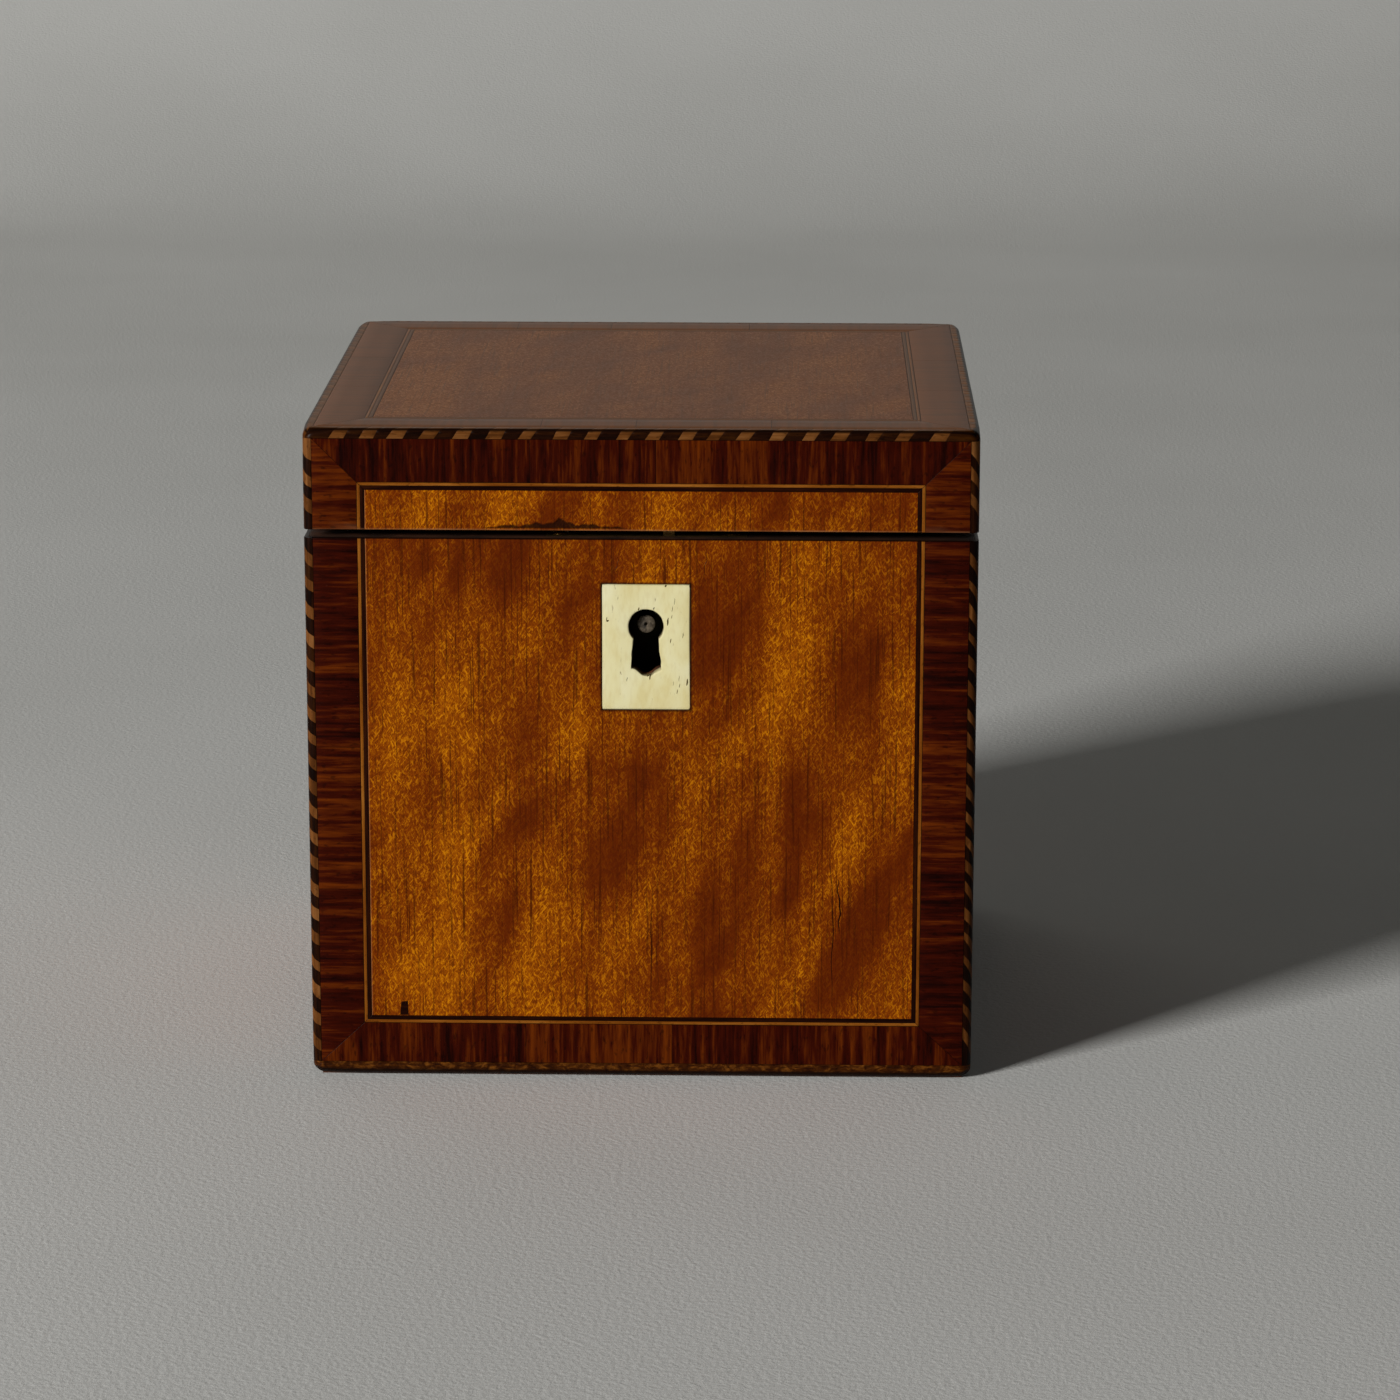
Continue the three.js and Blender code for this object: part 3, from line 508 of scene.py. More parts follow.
def build(name, solids, finishes, body, replaces=()):
    """Stacks the solids into one mesh with its materials, grain map and notes, riding on a body."""
    counts = np.cumsum([0] + [len(s["points"]) for s in solids])
    faces, finish = [], []
    for s, start in zip(solids, counts):
        for group in s["faces"]:
            faces.extend((group + start).tolist())
            finish.extend([s["finish"]] * len(group))
    mesh = bpy.data.meshes.new(name)
    mesh.from_pydata(np.vstack([s["points"] for s in solids]).tolist(), [], faces)
    mesh.polygons.foreach_set("material_index", np.array(finish, np.int32))
    mesh.polygons.foreach_set("use_smooth", np.ones(len(faces), bool))
    corner = np.zeros(len(mesh.loops), np.int32)
    mesh.loops.foreach_get("vertex_index", corner)
    grain = np.vstack([s["grain"] for s in solids])
    mesh.uv_layers.new(name="grain").data.foreach_set("uv", grain[corner].astype(np.float32).ravel())
    for note in NOTES:
        values = [np.broadcast_to(s["notes"].get(note, 0.0), len(s["points"])) for s in solids]
        layer = mesh.attributes.new(note, "FLOAT", "POINT")
        layer.data.foreach_set("value", np.concatenate(values).astype(np.float32))
    for material in finishes:
        mesh.materials.append(material)
    mesh.set_sharp_from_angle(angle=SHARP)
    piece = bpy.data.objects.new(name, mesh)
    bpy.context.scene.collection.objects.link(piece)
    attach(piece, body)
    if replaces:
        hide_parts(*replaces)
    return piece


print("notes on every piece:", NOTES)

# %% [markdown]
# ## The faces of the cube
# Each face has its own flat coordinates: u to the right as seen from outside, v upwards (on the top:
# towards the back) and w straight out. The three axes are rows of a small matrix, so going to the face
# and back is one multiplication. The faces of an old box are not quite flat and its arrises are rubbed
# round, most of all at the corners, and both are worked out here once, so that neighbouring pieces agree.

# %% Face coordinates and two hundred years of wear
FACES = {
    "front": np.array([[1, 0, 0], [0, 0, 1], [0, -1, 0]], float),
    "right": np.array([[0, 1, 0], [0, 0, 1], [1, 0, 0]], float),
    "back": np.array([[-1, 0, 0], [0, 0, 1], [0, 1, 0]], float),
    "left": np.array([[0, -1, 0], [0, 0, 1], [-1, 0, 0]], float),
    "top": np.array([[1, 0, 0], [0, 1, 0], [0, 0, 1]], float),
}
SIDES = ("front", "right", "back", "left")


def on_face(node, face):
    """A node's lowest and highest u, v and w on that face."""
    both = np.array(corners(node)) @ FACES[face].T
    return both.min(0), both.max(0)


def rectangle_of(node, face):
    """A node's outline on a face as (u0, u1, v0, v1)."""
    lo, hi = on_face(node, face)
    return lo[0], hi[0], lo[1], hi[1]


def grown(rectangle, gap):
    u0, u1, v0, v1 = rectangle
    return u0 - gap, u1 + gap, v0 - gap, v1 + gap


ARRIS = 1.35 * MM  # how far the upright arrises and the foot's are rubbed round
TOP_ARRIS = 0.75 * MM  # round the top
CORNER_ARRIS = 2.3 * MM  # and at the eight corners
GROOVE = 0.07 * MM  # rounding along the joint between two veneers
HOLLOW = 2.2e-4  # half the depth of a hollow, as a share of its length


def roll(distance, radius):
    """Drop of a quarter-round edge at a distance from the edge: radius less the height of the arc."""
    inside = np.clip(radius - distance, 0.0, radius)
    return radius - np.sqrt(radius**2 - inside**2)


def rubbed(points):
    """Rounds the cube's arrises: past the inner box that is one radius smaller, a point is drawn back to
    one radius from it. The radius is smaller round the top and grows towards the eight corners."""
    middle = np.array([0.0, 0.0, (TOP_Z + FOOT_Z) / 2])
    half = np.array([HALF, HALF, (TOP_Z - FOOT_Z) / 2])
    away = np.abs(points - middle)
    side = np.sign(points - middle)
    to_corner = np.linalg.norm(half - away, axis=1)
    at_top = np.clip(1 - (TOP_Z - points[:, 2] - 1.5 * MM) / (1.5 * MM), 0, 1)
    radius = ARRIS + (TOP_ARRIS - ARRIS) * at_top
    radius = radius + (CORNER_ARRIS - radius) * np.clip(1 - to_corner / (7 * MM), 0, 1) ** 1.5
    core = half - radius[:, None]
    over = np.maximum(away - core, 0.0)
    length = np.linalg.norm(over, axis=1)
    shrink = np.where(length > radius, radius / np.maximum(length, 1e-9), 1.0)
    return middle + side * (np.minimum(away, core) + over * shrink[:, None])


def old_face(face, u, v):
    """Depth of the hollows in an old polished face: four long low waves, fading out near the arrises."""
    rng = np.random.default_rng(sorted(FACES).index(face) + 40)
    low, high = (0.0, TOP_Z) if face != "top" else (-HALF, HALF)
    total = np.zeros(np.broadcast(u, v).shape)
    for length in (61 * MM, 38 * MM, 23 * MM, 14 * MM):
        turn, phase = rng.uniform(0, np.pi), rng.uniform(0, 2 * np.pi)
        travel = (u * np.cos(turn) + v * np.sin(turn)) / length
        total = total + (1 - np.cos(2 * np.pi * travel + phase)) * length * HOLLOW
    margin = np.minimum(HALF - np.abs(u), np.minimum(v - low, high - v))
    return total * np.clip((margin - 2 * MM) / (7 * MM), 0, 1)


print("arrises rubbed to", round(ARRIS / MM, 2), "mm, corners to", round(CORNER_ARRIS / MM, 2), "mm")

# %% [markdown]
# ## Laying a leaf of veneer
# A leaf is a thin slab whose top follows the old face and rolls over a hair's breadth at its own edges,
# which gives the fine lines between leaves. Its grid has close lines at the edges and wider ones inside.
# The lid's lower edge and the body's rim are rounder, because hands open the box there. The lid's is
# rubbed down to bare wood and painted pale as a highlight, and the rim is painted black as the shade in
# the gap under the lid.

# %% Leaves of veneer
LIP = {"body": 0.15 * MM, "lid": 0.32 * MM}  # rounding at the opening
# The lid's lip is painted pale, as wear and highlight; the body's rim is painted black as shade
LIP_WEAR_AND_HIGHLIGHT = {"body": 0.0, "lid": 1.0}
LIP_SHADE = {"body": 0.95, "lid": 0.0}
TOP_FADED = 0.55  # daylight has paled the top
NEAR = np.array([0.35 * GROOVE, GROOVE])  # close lines beside an edge
FAR = 1.0  # a metre, out of reach of every wear
NEAR_LIP = np.array([0.35 * GROOVE, GROOVE, 0.13 * MM, 0.2 * MM, 0.3 * MM, 0.42 * MM])


def spaced(start, end, step, special=(), near=NEAR):
    """Grid lines from start to end, with close ones at both ends and beside each special place."""
    lines = [np.linspace(start, end, max(2, int(abs(end - start) / step) + 1))]
    for edge in (start, end, *special):
        lines.append(edge + np.concatenate([-near, [0.0], near]))
    lines = np.unique(np.round(np.concatenate(lines), 9))
    lines = lines[(lines >= start - 1e-9) & (lines <= end + 1e-9)]
    gaps = np.diff(lines, prepend=-1)
    return lines[gaps > 0.015 * MM]


def drop_to_opening(part, face, v):
    """Distance of a point above or below the opening between lid and body; far away on the top."""
    if face == "top":
        return np.full(np.shape(v), FAR)
    return RIM_Z - v if part == "body" else v - LID_Z


def lay(part, face, flat, own_edge, floor, grain, tone=0.0, finish=0, sink=0.0, hurt=0.0, lit_edge=0.0):
    """Lifts a flat slab onto its face: the top follows the old face, less the roll at its own edges and at
    the opening, and the bottom lies flat at floor. Dirt lies in the joints; at the opening the lid's lip is
    worn and painted pale as a highlight, and the body's rim is painted black as the shade in the gap under
    the lid. A lit edge is painted pale as a highlight too. The clipped lines are slopes that fall from 1 to 0
    over a hair's breadth."""
    u, v, layer, faces = flat
    reach = TOP_Z if face == "top" else HALF
    opening = drop_to_opening(part, face, v)
    height = reach - old_face(face, u, v) - roll(own_edge, GROOVE) - roll(opening, LIP[part]) - sink
    w = np.where(layer > 0, height, floor)
    patchy = 0.52 + 0.2 * np.sin(u / (5.3 * MM) + 2) + 0.14 * np.sin(u / (2.1 * MM))
    # The lid's lip is rubbed bare and painted pale as a highlight, and a lit edge is painted pale as a
    # highlight
    worn_and_lit = np.maximum(lit_edge, LIP_WEAR_AND_HIGHLIGHT[part] * patchy * np.clip(1.5 - opening / (0.24 * MM), 0, 1))
    dirt_and_shade = 0.8 * np.clip(1.4 - own_edge / (0.05 * MM), 0, 1) * np.clip(opening / (0.5 * MM) - 1, 0, 1)
    # The body's rim is painted black as the shade in the gap under the lid
    dirt_and_shade = np.maximum(dirt_and_shade, LIP_SHADE[part] * np.clip(1.6 - opening / (0.1 * MM), 0, 1))
    points = rubbed(np.stack([u, v, w], -1) @ FACES[face])
    notes = {"tone": tone, "worn_and_lit": worn_and_lit, "hurt": np.maximum(hurt, dirt_and_shade), "faded": TOP_FADED * (face == "top")}
    return solid(points, faces, grain, finish, **notes)


def strip_of_leaves(outer, inner, cuts):
    """Cuts a strip into quads: outer and inner are its two long edges (start, end), both running the
    same way, and cuts are distances along the outer edge. Each quad is outer start, outer end, inner
    end, inner start."""
    (a, b), (d, c) = np.asarray(outer, float), np.asarray(inner, float)
    along = (b - a) / np.linalg.norm(b - a)
    outers = [a] + [a + along * x for x in cuts] + [b]
    inners = [d] + [d + along * (x - (d - a) @ along) for x in cuts] + [c]
    return [np.array([outers[i], outers[i + 1], inners[i + 1], inners[i]]) for i in range(len(outers) - 1)]


def leaf(part, face, quad, floor, step, shift, tone, grain_across=True, finish=0):
    """One four-cornered leaf. A point is the blend of the four corners by its shares s along and t across;
    its distance from its own edge is the least of its distances from the four sides."""
    a, b, c, d = quad
    length = max(np.linalg.norm(b - a), np.linalg.norm(c - d))
    width = abs(np.cross(b - a, d - a)) / np.linalg.norm(b - a)
    lines = spaced(0, length, step, near=NEAR_LIP) / length
    s, t, layer, faces = slab_cells(lines, spaced(0, width, step) / width)
    s, t = s[:, None], t[:, None]
    point = (a * (1 - s) + b * s) * (1 - t) + (d * (1 - s) + c * s) * t
    own = np.full(len(point), FAR)
    for start, end in ((a, b), (b, c), (c, d), (d, a)):
        side = (end - start) / np.linalg.norm(end - start)
        away = point - start
        own = np.minimum(own, np.abs(side[0] * away[:, 1] - side[1] * away[:, 0]))
    along = (b - a) / np.linalg.norm(b - a)
    run = (point - a) @ along
    rise = np.abs((point - a) @ np.array([-along[1], along[0]]))
    grain = np.stack([run, rise] if grain_across else [rise, run], -1) + shift
    return lay(part, face, (*point.T, layer, faces), own, floor, grain, tone, finish)


print("grid lines over 8 mm:", len(spaced(0, 8 * MM, 2 * MM)))

# %% [markdown]
# ## Bands and lines
# A frame on a face has a strip for each side, mitred where two meet: three strips on the body and on the
# lid's sides, which are open at the join, and four on the top. The crossband is laid in short lengths,
# because a cut across the grain is only as long as the plank is thick, and each length has its own shade.


# %% Crossband and stringing
OPEN_SIDES = {"body": ("foot", "right", "left"), "lid": ("head", "right", "left")}
LIGHT_SHARE = 0.44  # of the pair of lines
JOINT = 0.03 * MM  # between a frame and what it holds


def every_face():
    """Each veneered face as (part, face, body): four on the box, five on the lid."""
    for part, body in (("body", "case"), ("lid", "lid")):
        for face in FACES:
            if face != "top" or part == "lid":
                yield part, face, body


def opened(rectangle, part, face, band):
    """Moves a rectangle's side at the opening out to the band's own; the top face has no opening."""
    u0, u1, v0, v1 = rectangle
    if face == "top":
        return rectangle
    return (u0, u1, v0, band[3]) if part == "body" else (u0, u1, band[2], v1)


def frame_strips(part, face, outer, inner):
    """The sides of a frame between two rectangles, each as its outer and inner edge. The frame is walked
    with its middle on the left."""
    u0, u1, v0, v1 = outer
    a0, a1, b0, b1 = inner
    every = {
        "foot": ([(u0, v0), (u1, v0)], [(a0, b0), (a1, b0)]),
        "right": ([(u1, v0), (u1, v1)], [(a1, b0), (a1, b1)]),
        "head": ([(u1, v1), (u0, v1)], [(a1, b1), (a0, b1)]),
        "left": ([(u0, v1), (u0, v0)], [(a0, b1), (a0, b0)]),
    }
    return [every[name] for name in (every if face == "top" else OPEN_SIDES[part])]


def lengths_between(start, end, shortest, longest, rng):
    """Places of the joints in a strip, a random step apart."""
    cuts = []
    at = start + rng.uniform(shortest, longest)
    while at < end - shortest:
        cuts.append(at)
        at += rng.uniform(shortest, longest)
    return cuts


def crossband(part, face, node, rng):
    band = rectangle_of(node, face)
    inner = opened(grown(rectangle_of(f"{part}_{face}_stringing", face), JOINT), part, face, band)
    floor = on_face(node, face)[0][2]
    margin = 12 * MM
    solids = []
    for outer_edge, inner_edge in frame_strips(part, face, band, inner):
        length = np.linalg.norm(np.subtract(outer_edge[1], outer_edge[0]))
        cuts = lengths_between(margin, length - margin, 16 * MM, 34 * MM, rng) if length > 3 * margin else []
        for quad in strip_of_leaves(outer_edge, inner_edge, cuts):
            shift = rng.uniform(0, 3, 2)
            tone = rng.uniform(-0.2, 0.2) if face != "top" else rng.uniform(0.25, 0.5)
            solids.append(leaf(part, face, quad, floor, 2.2 * MM, shift, tone))
    return solids


def stringing(part, face, node, rng):
    line = rectangle_of(node, face)
    panel = rectangle_of(f"{part}_{face}_panel", face)
    middle = tuple(o + LIGHT_SHARE * (i - o) for o, i in zip(line, panel))
    rectangles = [line] + [opened(r, part, face, line) for r in (middle, grown(panel, 0.02 * MM))]
    floor = on_face(node, face)[0][2]
    solids = []
    for finish in (0, 1):
        for outer_edge, inner_edge in frame_strips(part, face, *rectangles[finish : finish + 2]):
            (quad,) = strip_of_leaves(outer_edge, inner_edge, [])
            shift = rng.uniform(0, 3, 2)
            tone = rng.uniform(-0.1, 0.1)
            solids.append(leaf(part, face, quad, floor, 2.5 * MM, shift, tone, False, finish))
    return solids


for part, face, body in every_face():
    rng = np.random.default_rng(sum(map(ord, part + face)))
    band, line = f"{part}_{face}_crossband", f"{part}_{face}_stringing"
    build("veneer_" + band, crossband(part, face, band, rng), [CROSSBAND], body, [band])
    build("inlay_" + line, stringing(part, face, line, rng), [BOXWOOD, EBONY], body, [line])
print("bands and lines laid")

# %% [markdown]
# ## Panels
# A panel is one leaf with upright grain. The body's front panel is cut out for the bone plate and the
# back ones are notched for the hinges, so they are slabs with cells left out. The lid's front panel has
# lost a sliver at its lower edge, where a knife once forced the lid: the surface sinks there and is
# painted nearly black as the shade in the chip. The sinking is a smooth step of height over a hump-shaped
# outline. The front panel's clouds are a list of soft ovals on top of the wood's own figure. A thin
# painted shade runs round the bone plate, and the left edge of each front panel is painted pale as a
# highlight.


# %% Satinwood panels
def away_from(rectangle, u, v, inside):
    """Distance from a rectangle's edge, for points inside it or outside it."""
    u0, u1, v0, v1 = rectangle
    if inside:
        return np.minimum(np.minimum(u - u0, u1 - u), np.minimum(v - v0, v1 - v))
    du = np.maximum(np.maximum(u0 - u, u - u1), 0)
    dv = np.maximum(np.maximum(v0 - v, v - v1), 0)
    return np.hypot(du, dv)


def smooth_step(value, low, high):
    share = np.clip((value - low) / (high - low), 0, 1)
    return share * share * (3 - 2 * share)


CHIP_FROM, CHIP_TO, CHIP_PEAK = -28.5 * MM, -2.0 * MM, -14.5 * MM
CHIP_FOOT = LID_Z + 0.42 * MM  # the very edge is left, rubbed and painted pale as a highlight


def chip(u, v):
    """Share of damage over the lid's lower front edge, which also sets how dark the chip is painted as shade:
    0.88 inside a long low hump with one sharp peak, 0 outside. The hump is the lesser of two smooth steps,
    and the peak is a two-sided exponential."""
    hump = np.minimum(smooth_step(u, CHIP_FROM, CHIP_PEAK), 1 - smooth_step(u, CHIP_PEAK, CHIP_TO))
    ragged = 1 + 0.25 * np.sin(u / (0.8 * MM)) + 0.15 * np.sin(u / (0.33 * MM) + 1)
    peak = 0.95 * MM * np.exp(-np.abs(u - CHIP_PEAK) / (1.9 * MM))
    head = CHIP_FOOT + 0.85 * MM * hump**0.3 * ragged + peak
    above_foot = smooth_step(v, CHIP_FOOT - 0.1 * MM, CHIP_FOOT + 0.1 * MM)
    dark = above_foot * (1 - smooth_step(v, head - 0.3 * MM, head))
    return np.where((u > CHIP_FROM) & (u < CHIP_TO), 0.88 * dark, 0.0)


# Where the figure of the front panel is darker or lighter, in mm: u, v, half width, half height, lean, tone
FIGURE = [(0, 52, 8, 9, 0, -0.45), (-4, 41, 6, 8, 0.4, -0.25), (-41, 52, 6, 10, 0.3, -0.4)]
FIGURE += [(-22, 66, 5, 9, 0, -0.4), (-20, 93, 6, 7, 0, -0.35), (16, 82, 6, 16, 0, -0.35)]
FIGURE += [(37, 80, 5, 15, -0.05, -0.5), (28, 52, 4, 14, -0.15, -0.35), (13, 30, 5, 14, 0, -0.35)]
FIGURE += [(-31, 42, 3.5, 11, 0.45, 0.4), (-12, 66, 4, 11, 0, 0.4), (26.5, 78, 3.5, 18, 0, 0.4)]
FIGURE += [(46, 78, 3, 18, 0, 0.4), (23, 60, 1.6, 10, 0, 0.45), (38, 46, 4, 16, 0.3, 0.4)]
FIGURE += [(-10, 28, 5, 12, 0.1, 0.3), (-36, 20, 12, 5, 0, 0.35), (-38, 94, 10, 7, 0, -0.25)]


def figured(u, v):
    """The front panel's own clouds: a sum of leaning ovals that fade like bell curves."""
    tone = np.zeros(len(u))
    for u0, v0, wide, tall, lean, strength in FIGURE:
        across = u - u0 * MM - lean * (v - v0 * MM)
        tone += strength * np.exp(-((across / (wide * MM)) ** 2) - ((v - v0 * MM) / (tall * MM)) ** 2)
    return tone


def panel(part, face, name, rng):
    u0, u1, v0, v1 = edges = rectangle_of(name, face)
    floor = on_face(name, face)[0][2]
    plated, chipped = name == "body_front_panel", name == "lid_front_panel"
    holes = [grown(rectangle_of("keyhole_escutcheon", face), JOINT)] if plated else []
    if face == "back":
        leaves = [f"{side}_hinge_{part}_leaf" for side in ("left", "right")]
        holes = [grown(rectangle_of(node, face), 0.3 * MM) for node in leaves]
    lines_u = spaced(u0, u1, 2.5 * MM, [x for h in holes for x in h[:2] if u0 < x < u1], NEAR_LIP)
    lines_v = spaced(v0, v1, 2.5 * MM, [x for h in holes for x in h[2:] if v0 < x < v1], NEAR_LIP)
    if chipped:
        lines_u = np.unique(np.concatenate([lines_u, np.arange(CHIP_FROM, CHIP_TO, 0.2 * MM)]))
        lines_v = np.unique(np.concatenate([lines_v, np.arange(v0 + 0.52 * MM, v0 + 3 * MM, 0.18 * MM)]))

    def keep(u, v):
        kept = np.ones(np.broadcast(u, v).shape, bool)
        for h in holes:
            kept &= ~((u > h[0]) & (u < h[1]) & (v > h[2]) & (v < h[3]))
        return kept

    u, v, layer, faces = slab_cells(lines_u, lines_v, keep)
    own = away_from(edges, u, v, True)
    for h in holes:
        own = np.minimum(own, away_from(h, u, v, False))
    grain = np.stack([u, v], -1) + rng.uniform(0, 3, 2)
    # The left edge of a front panel is painted half pale, as a highlight where it catches the light
    lit_left_edge = 0.5 * np.clip(1.6 - (u - u0) / (0.13 * MM), 0, 1) if face == "front" else 0.0
    tone, sink, hurt = 0.0, 0.0, np.zeros(len(u))
    if chipped:
        tone, hurt = 0.05, chip(u, v)
        sink = 0.25 * MM * hurt
    if plated:
        tone = figured(u, v)
        beside = away_from(holes[0], u, v, False) / (0.3 * MM)
        hurt = 0.7 * np.clip(1.5 - beside, 0, 1)  # painted shade round the edge of the bone
    return lay(part, face, (u, v, layer, faces), own, floor, grain, tone, 0, sink, hurt, lit_left_edge)


for part, face, body in every_face():
    name = f"{part}_{face}_panel"
    rng = np.random.default_rng(sum(map(ord, part + face)) + 7)
    build("veneer_" + name, [panel(part, face, name, rng)], [SATINWOOD], body, [name])
print("panels laid")

# %% [markdown]
# ## Cracks, a plug and open pores
# The front panel has dried and split in a few places, and a knot or nail hole at its foot was filled long
# ago with a plug of dark wood. A split is a sliver of dark filler: a diamond section that swells and dies
# away along a wandering line, a hair proud of the wood. The bone's open pores are made the same way later.


# %% Slivers of filler
def sliver(points, width, sharp=0.5, proud=0.02 * MM, rows=24, wander=0.0, seed=0):
    """A dark sliver on the front face through two places (u, v, w): its half width is the sine of its
    share along the line, raised to sharp, and it wanders sideways by two sine waves."""
    rng = np.random.default_rng(seed)
    start, end = np.asarray(points, float) * MM
    share = np.linspace(0, 1, rows)
    line = start + (end - start) * share[:, None]
    phase = rng.uniform(0, 6, 2)
    line[:, 0] += wander * (np.sin(share * 9 + phase[0]) + 0.5 * np.sin(share * 23 + phase[1])) * MM
    half = width / 2 * MM * (0.04 + np.sin(np.pi * share) ** sharp)
    ring = np.array([[-1.0, 0.0], [0.0, -1.0], [1.0, 0.0], [0.0, 1.0]])
    u = line[:, :1] + ring[:, 0] * half[:, None]
    v = np.repeat(line[:, 1:2], 4, axis=1)
    w = line[:, 2:] + np.where(ring[:, 1] < 0, -0.3 * MM, proud) * np.abs(ring[:, 1])
    grain = np.stack([u, v], -1).reshape(-1, 2)
    return solid(np.stack([u, v, w], -1).reshape(-1, 3) @ FACES["front"], bar_faces(4, rows, False), grain)


def surface(u, v):
    """A place on the front's old face, in mm."""
    return (u, v, (HALF - float(old_face("front", u * MM, v * MM))) / MM)


# Splits in mm: u and v of the head, u and v of the foot, width
SPLITS = [(34.2, 45.5, 34.8, 12.2, 0.16), (35.6, 38.0, 35.9, 27.5, 0.3), (2.2, 38.5, 1.4, 13.0, 0.12)]
SPLITS += [(3.0, 30.0, 2.8, 16.0, 0.07), (-4.2, 97.5, -4.3, 93.0, 0.08), (11.6, 99.6, 11.3, 92.0, 0.08)]
splits = [
    sliver((surface(a, b), surface(c, d)), wide, 0.7, rows=40, wander=0.18, seed=i)
    for i, (a, b, c, d, wide) in enumerate(SPLITS)
]
build("split_fillings", splits, [EBONY], "case")
# The plug's four corners round its place, in mm
quad = (np.array([[-0.85, -1.75], [0.75, -1.75], [0.65, 0.95], [-0.6, 0.8]]) + [-43.1, 13.4]) * MM
plug = leaf("body", "front", quad, HALF - 0.5 * MM, 0.5 * MM, np.array([0.3, 0.4]), -0.1, False)
plug["points"][:, 1] -= 0.03 * MM  # a hair proud of the panel
build("plug_at_the_foot", [plug], [EBONY], "case")
print("splits:", len(splits))

# %% [markdown]
# ## Rope edging
# The striped edging is a thin stick of slanted blocks, light and dark in turn, let into the arris. Its
# joints wind round the arris like the lay of a rope: on both faces the joint moves on by a share of the
# distance round the stick. Each block is a bar of its own, drawn in a little at both ends, so that the
# stick shows its joints, and the rubbing then rounds the whole row.


# %% Rope edging
def section(size):
    """The stick's outline as (p, q), measured outwards along its two face directions; the arris is (0, 0).
    It runs along the first face, over the arris and back along the second."""
    shares = np.array([1.0, 0.99, 0.72, 0.5, 0.34, 0.2, 0.09])
    first = np.stack([np.zeros(7), -shares * size], -1)
    second = np.stack([-shares[::-1] * size, np.zeros(7)], -1)
    return np.vstack([[[-size, -size]], first, [[0.0, 0.0]], second])


def rope_block(size, start, end, origin, along, first, second, finish, tone, faded, shift):
    """One block between two joints. A joint is (place, slant, mitre): at outline point (p, q) it lies at
    place + slant * (q - p), or at a mitred end at place - mitre * p. Dirt lies in the joints, and round the
    paled top the arris is painted dark."""
    outline = section(size)
    p, q = outline.T
    reach_0, reach_1 = (place + slant * (q - p) - mitre * p for place, slant, mitre in (start, end))
    inside = np.linspace(0, 1, max(2, int((end[0] - start[0]) / (0.55 * MM))))
    bevel = 0.07 * MM
    rows = [(reach_0 + bevel + (reach_1 - reach_0 - 2 * bevel) * share, 0.0) for share in inside]
    rows = [(reach_0, 0.05 * MM), *rows, (reach_1, 0.05 * MM)]
    stations = []
    for reach, drawn_in in rows:
        pull = outline - drawn_in * (outline > -0.99 * size)
        stations.append(origin + reach[:, None] * along + pull[:, :1] * first + pull[:, 1:] * second)
    points = np.vstack(stations)
    outward = np.dot(np.cross(first, second), along) > 0
    run = (points - origin) @ along
    grain = np.stack([np.tile(q - p, len(rows)), run], -1) + shift
    dirt_and_shade = np.repeat([0.7] + [0.0] * len(inside) + [0.7], len(outline))
    at_arris = np.clip(1.5 + 1.5 * (p / (0.9 * MM) + q / (0.55 * MM)), 0, 1) * (faded > 0)
    dirt_and_shade = np.maximum(dirt_and_shade, 0.95 * np.tile(at_arris, len(rows)))
    faces = bar_faces(len(outline), len(rows), outward)
    rounded = rubbed(points)
    upward = np.clip(1 + (rounded[:, 2] - TOP_Z) / (0.1 * MM), 0, 1) * faded
    return solid(rounded, faces, grain, finish, tone=tone, faded=upward, hurt=dirt_and_shade)


def rope(start, end, size, first, second, light, dark, slant, mitred, rng, tone=0.0, faded=0.0):
    """A stick of blocks from start to end. light and dark are the blocks' mean lengths; faded is how far
    daylight has paled its upper side."""
    start, end = np.asarray(start, float), np.asarray(end, float)
    length = np.linalg.norm(end - start)
    along = (end - start) / length
    margin = size * (1 + abs(slant)) + 0.5 * MM if mitred else size * abs(slant) + 0.4 * MM
    joints = [(0.0, 0.0, 1.0 if mitred else 0.0)]
    at, is_light = margin + rng.uniform(0, dark), True
    while at < length - margin:
        joints.append((at, slant * rng.uniform(0.75, 1.2), 0.0))
        at += (light if is_light else dark) * rng.uniform(0.86, 1.14)
        is_light = not is_light
    joints.append((length, 0.0, -1.0 if mitred else 0.0))
    first, second = np.array(first, float), np.array(second, float)
    solids = []
    for i in range(len(joints) - 1):
        finish, shade = 1 - i % 2, tone + rng.uniform(-0.2, 0.25)
        block = (size, joints[i], joints[i + 1], start, along, first, second)
        solids.append(rope_block(*block, finish, shade, faded, rng.uniform(0, 3, 2)))
    return solids


low, high = corners("body_front_left_rope_edging")
SIZE_SIDE = high[0] - low[0]
SIZE_TOP = TOP_Z - corners("lid_top_rope_edging")[0][2]
UPRIGHT = (2.2 * MM, 2.5 * MM)  # mean lengths of a light and a dark block up the corners
LEVEL = (2.5 * MM, 3.1 * MM)  # and round the top
# Sticks darker than the rest; the front right one is painted dark as shade, on the side away from the light
ROPE_TONE_AND_SHADE = {"body_front_right": -0.45, "body_front_left": -0.15, "lid_front_left": -0.15}
CORNERS = {"front_left": (-1, -1), "front_right": (1, -1), "back_right": (1, 1), "back_left": (-1, 1)}

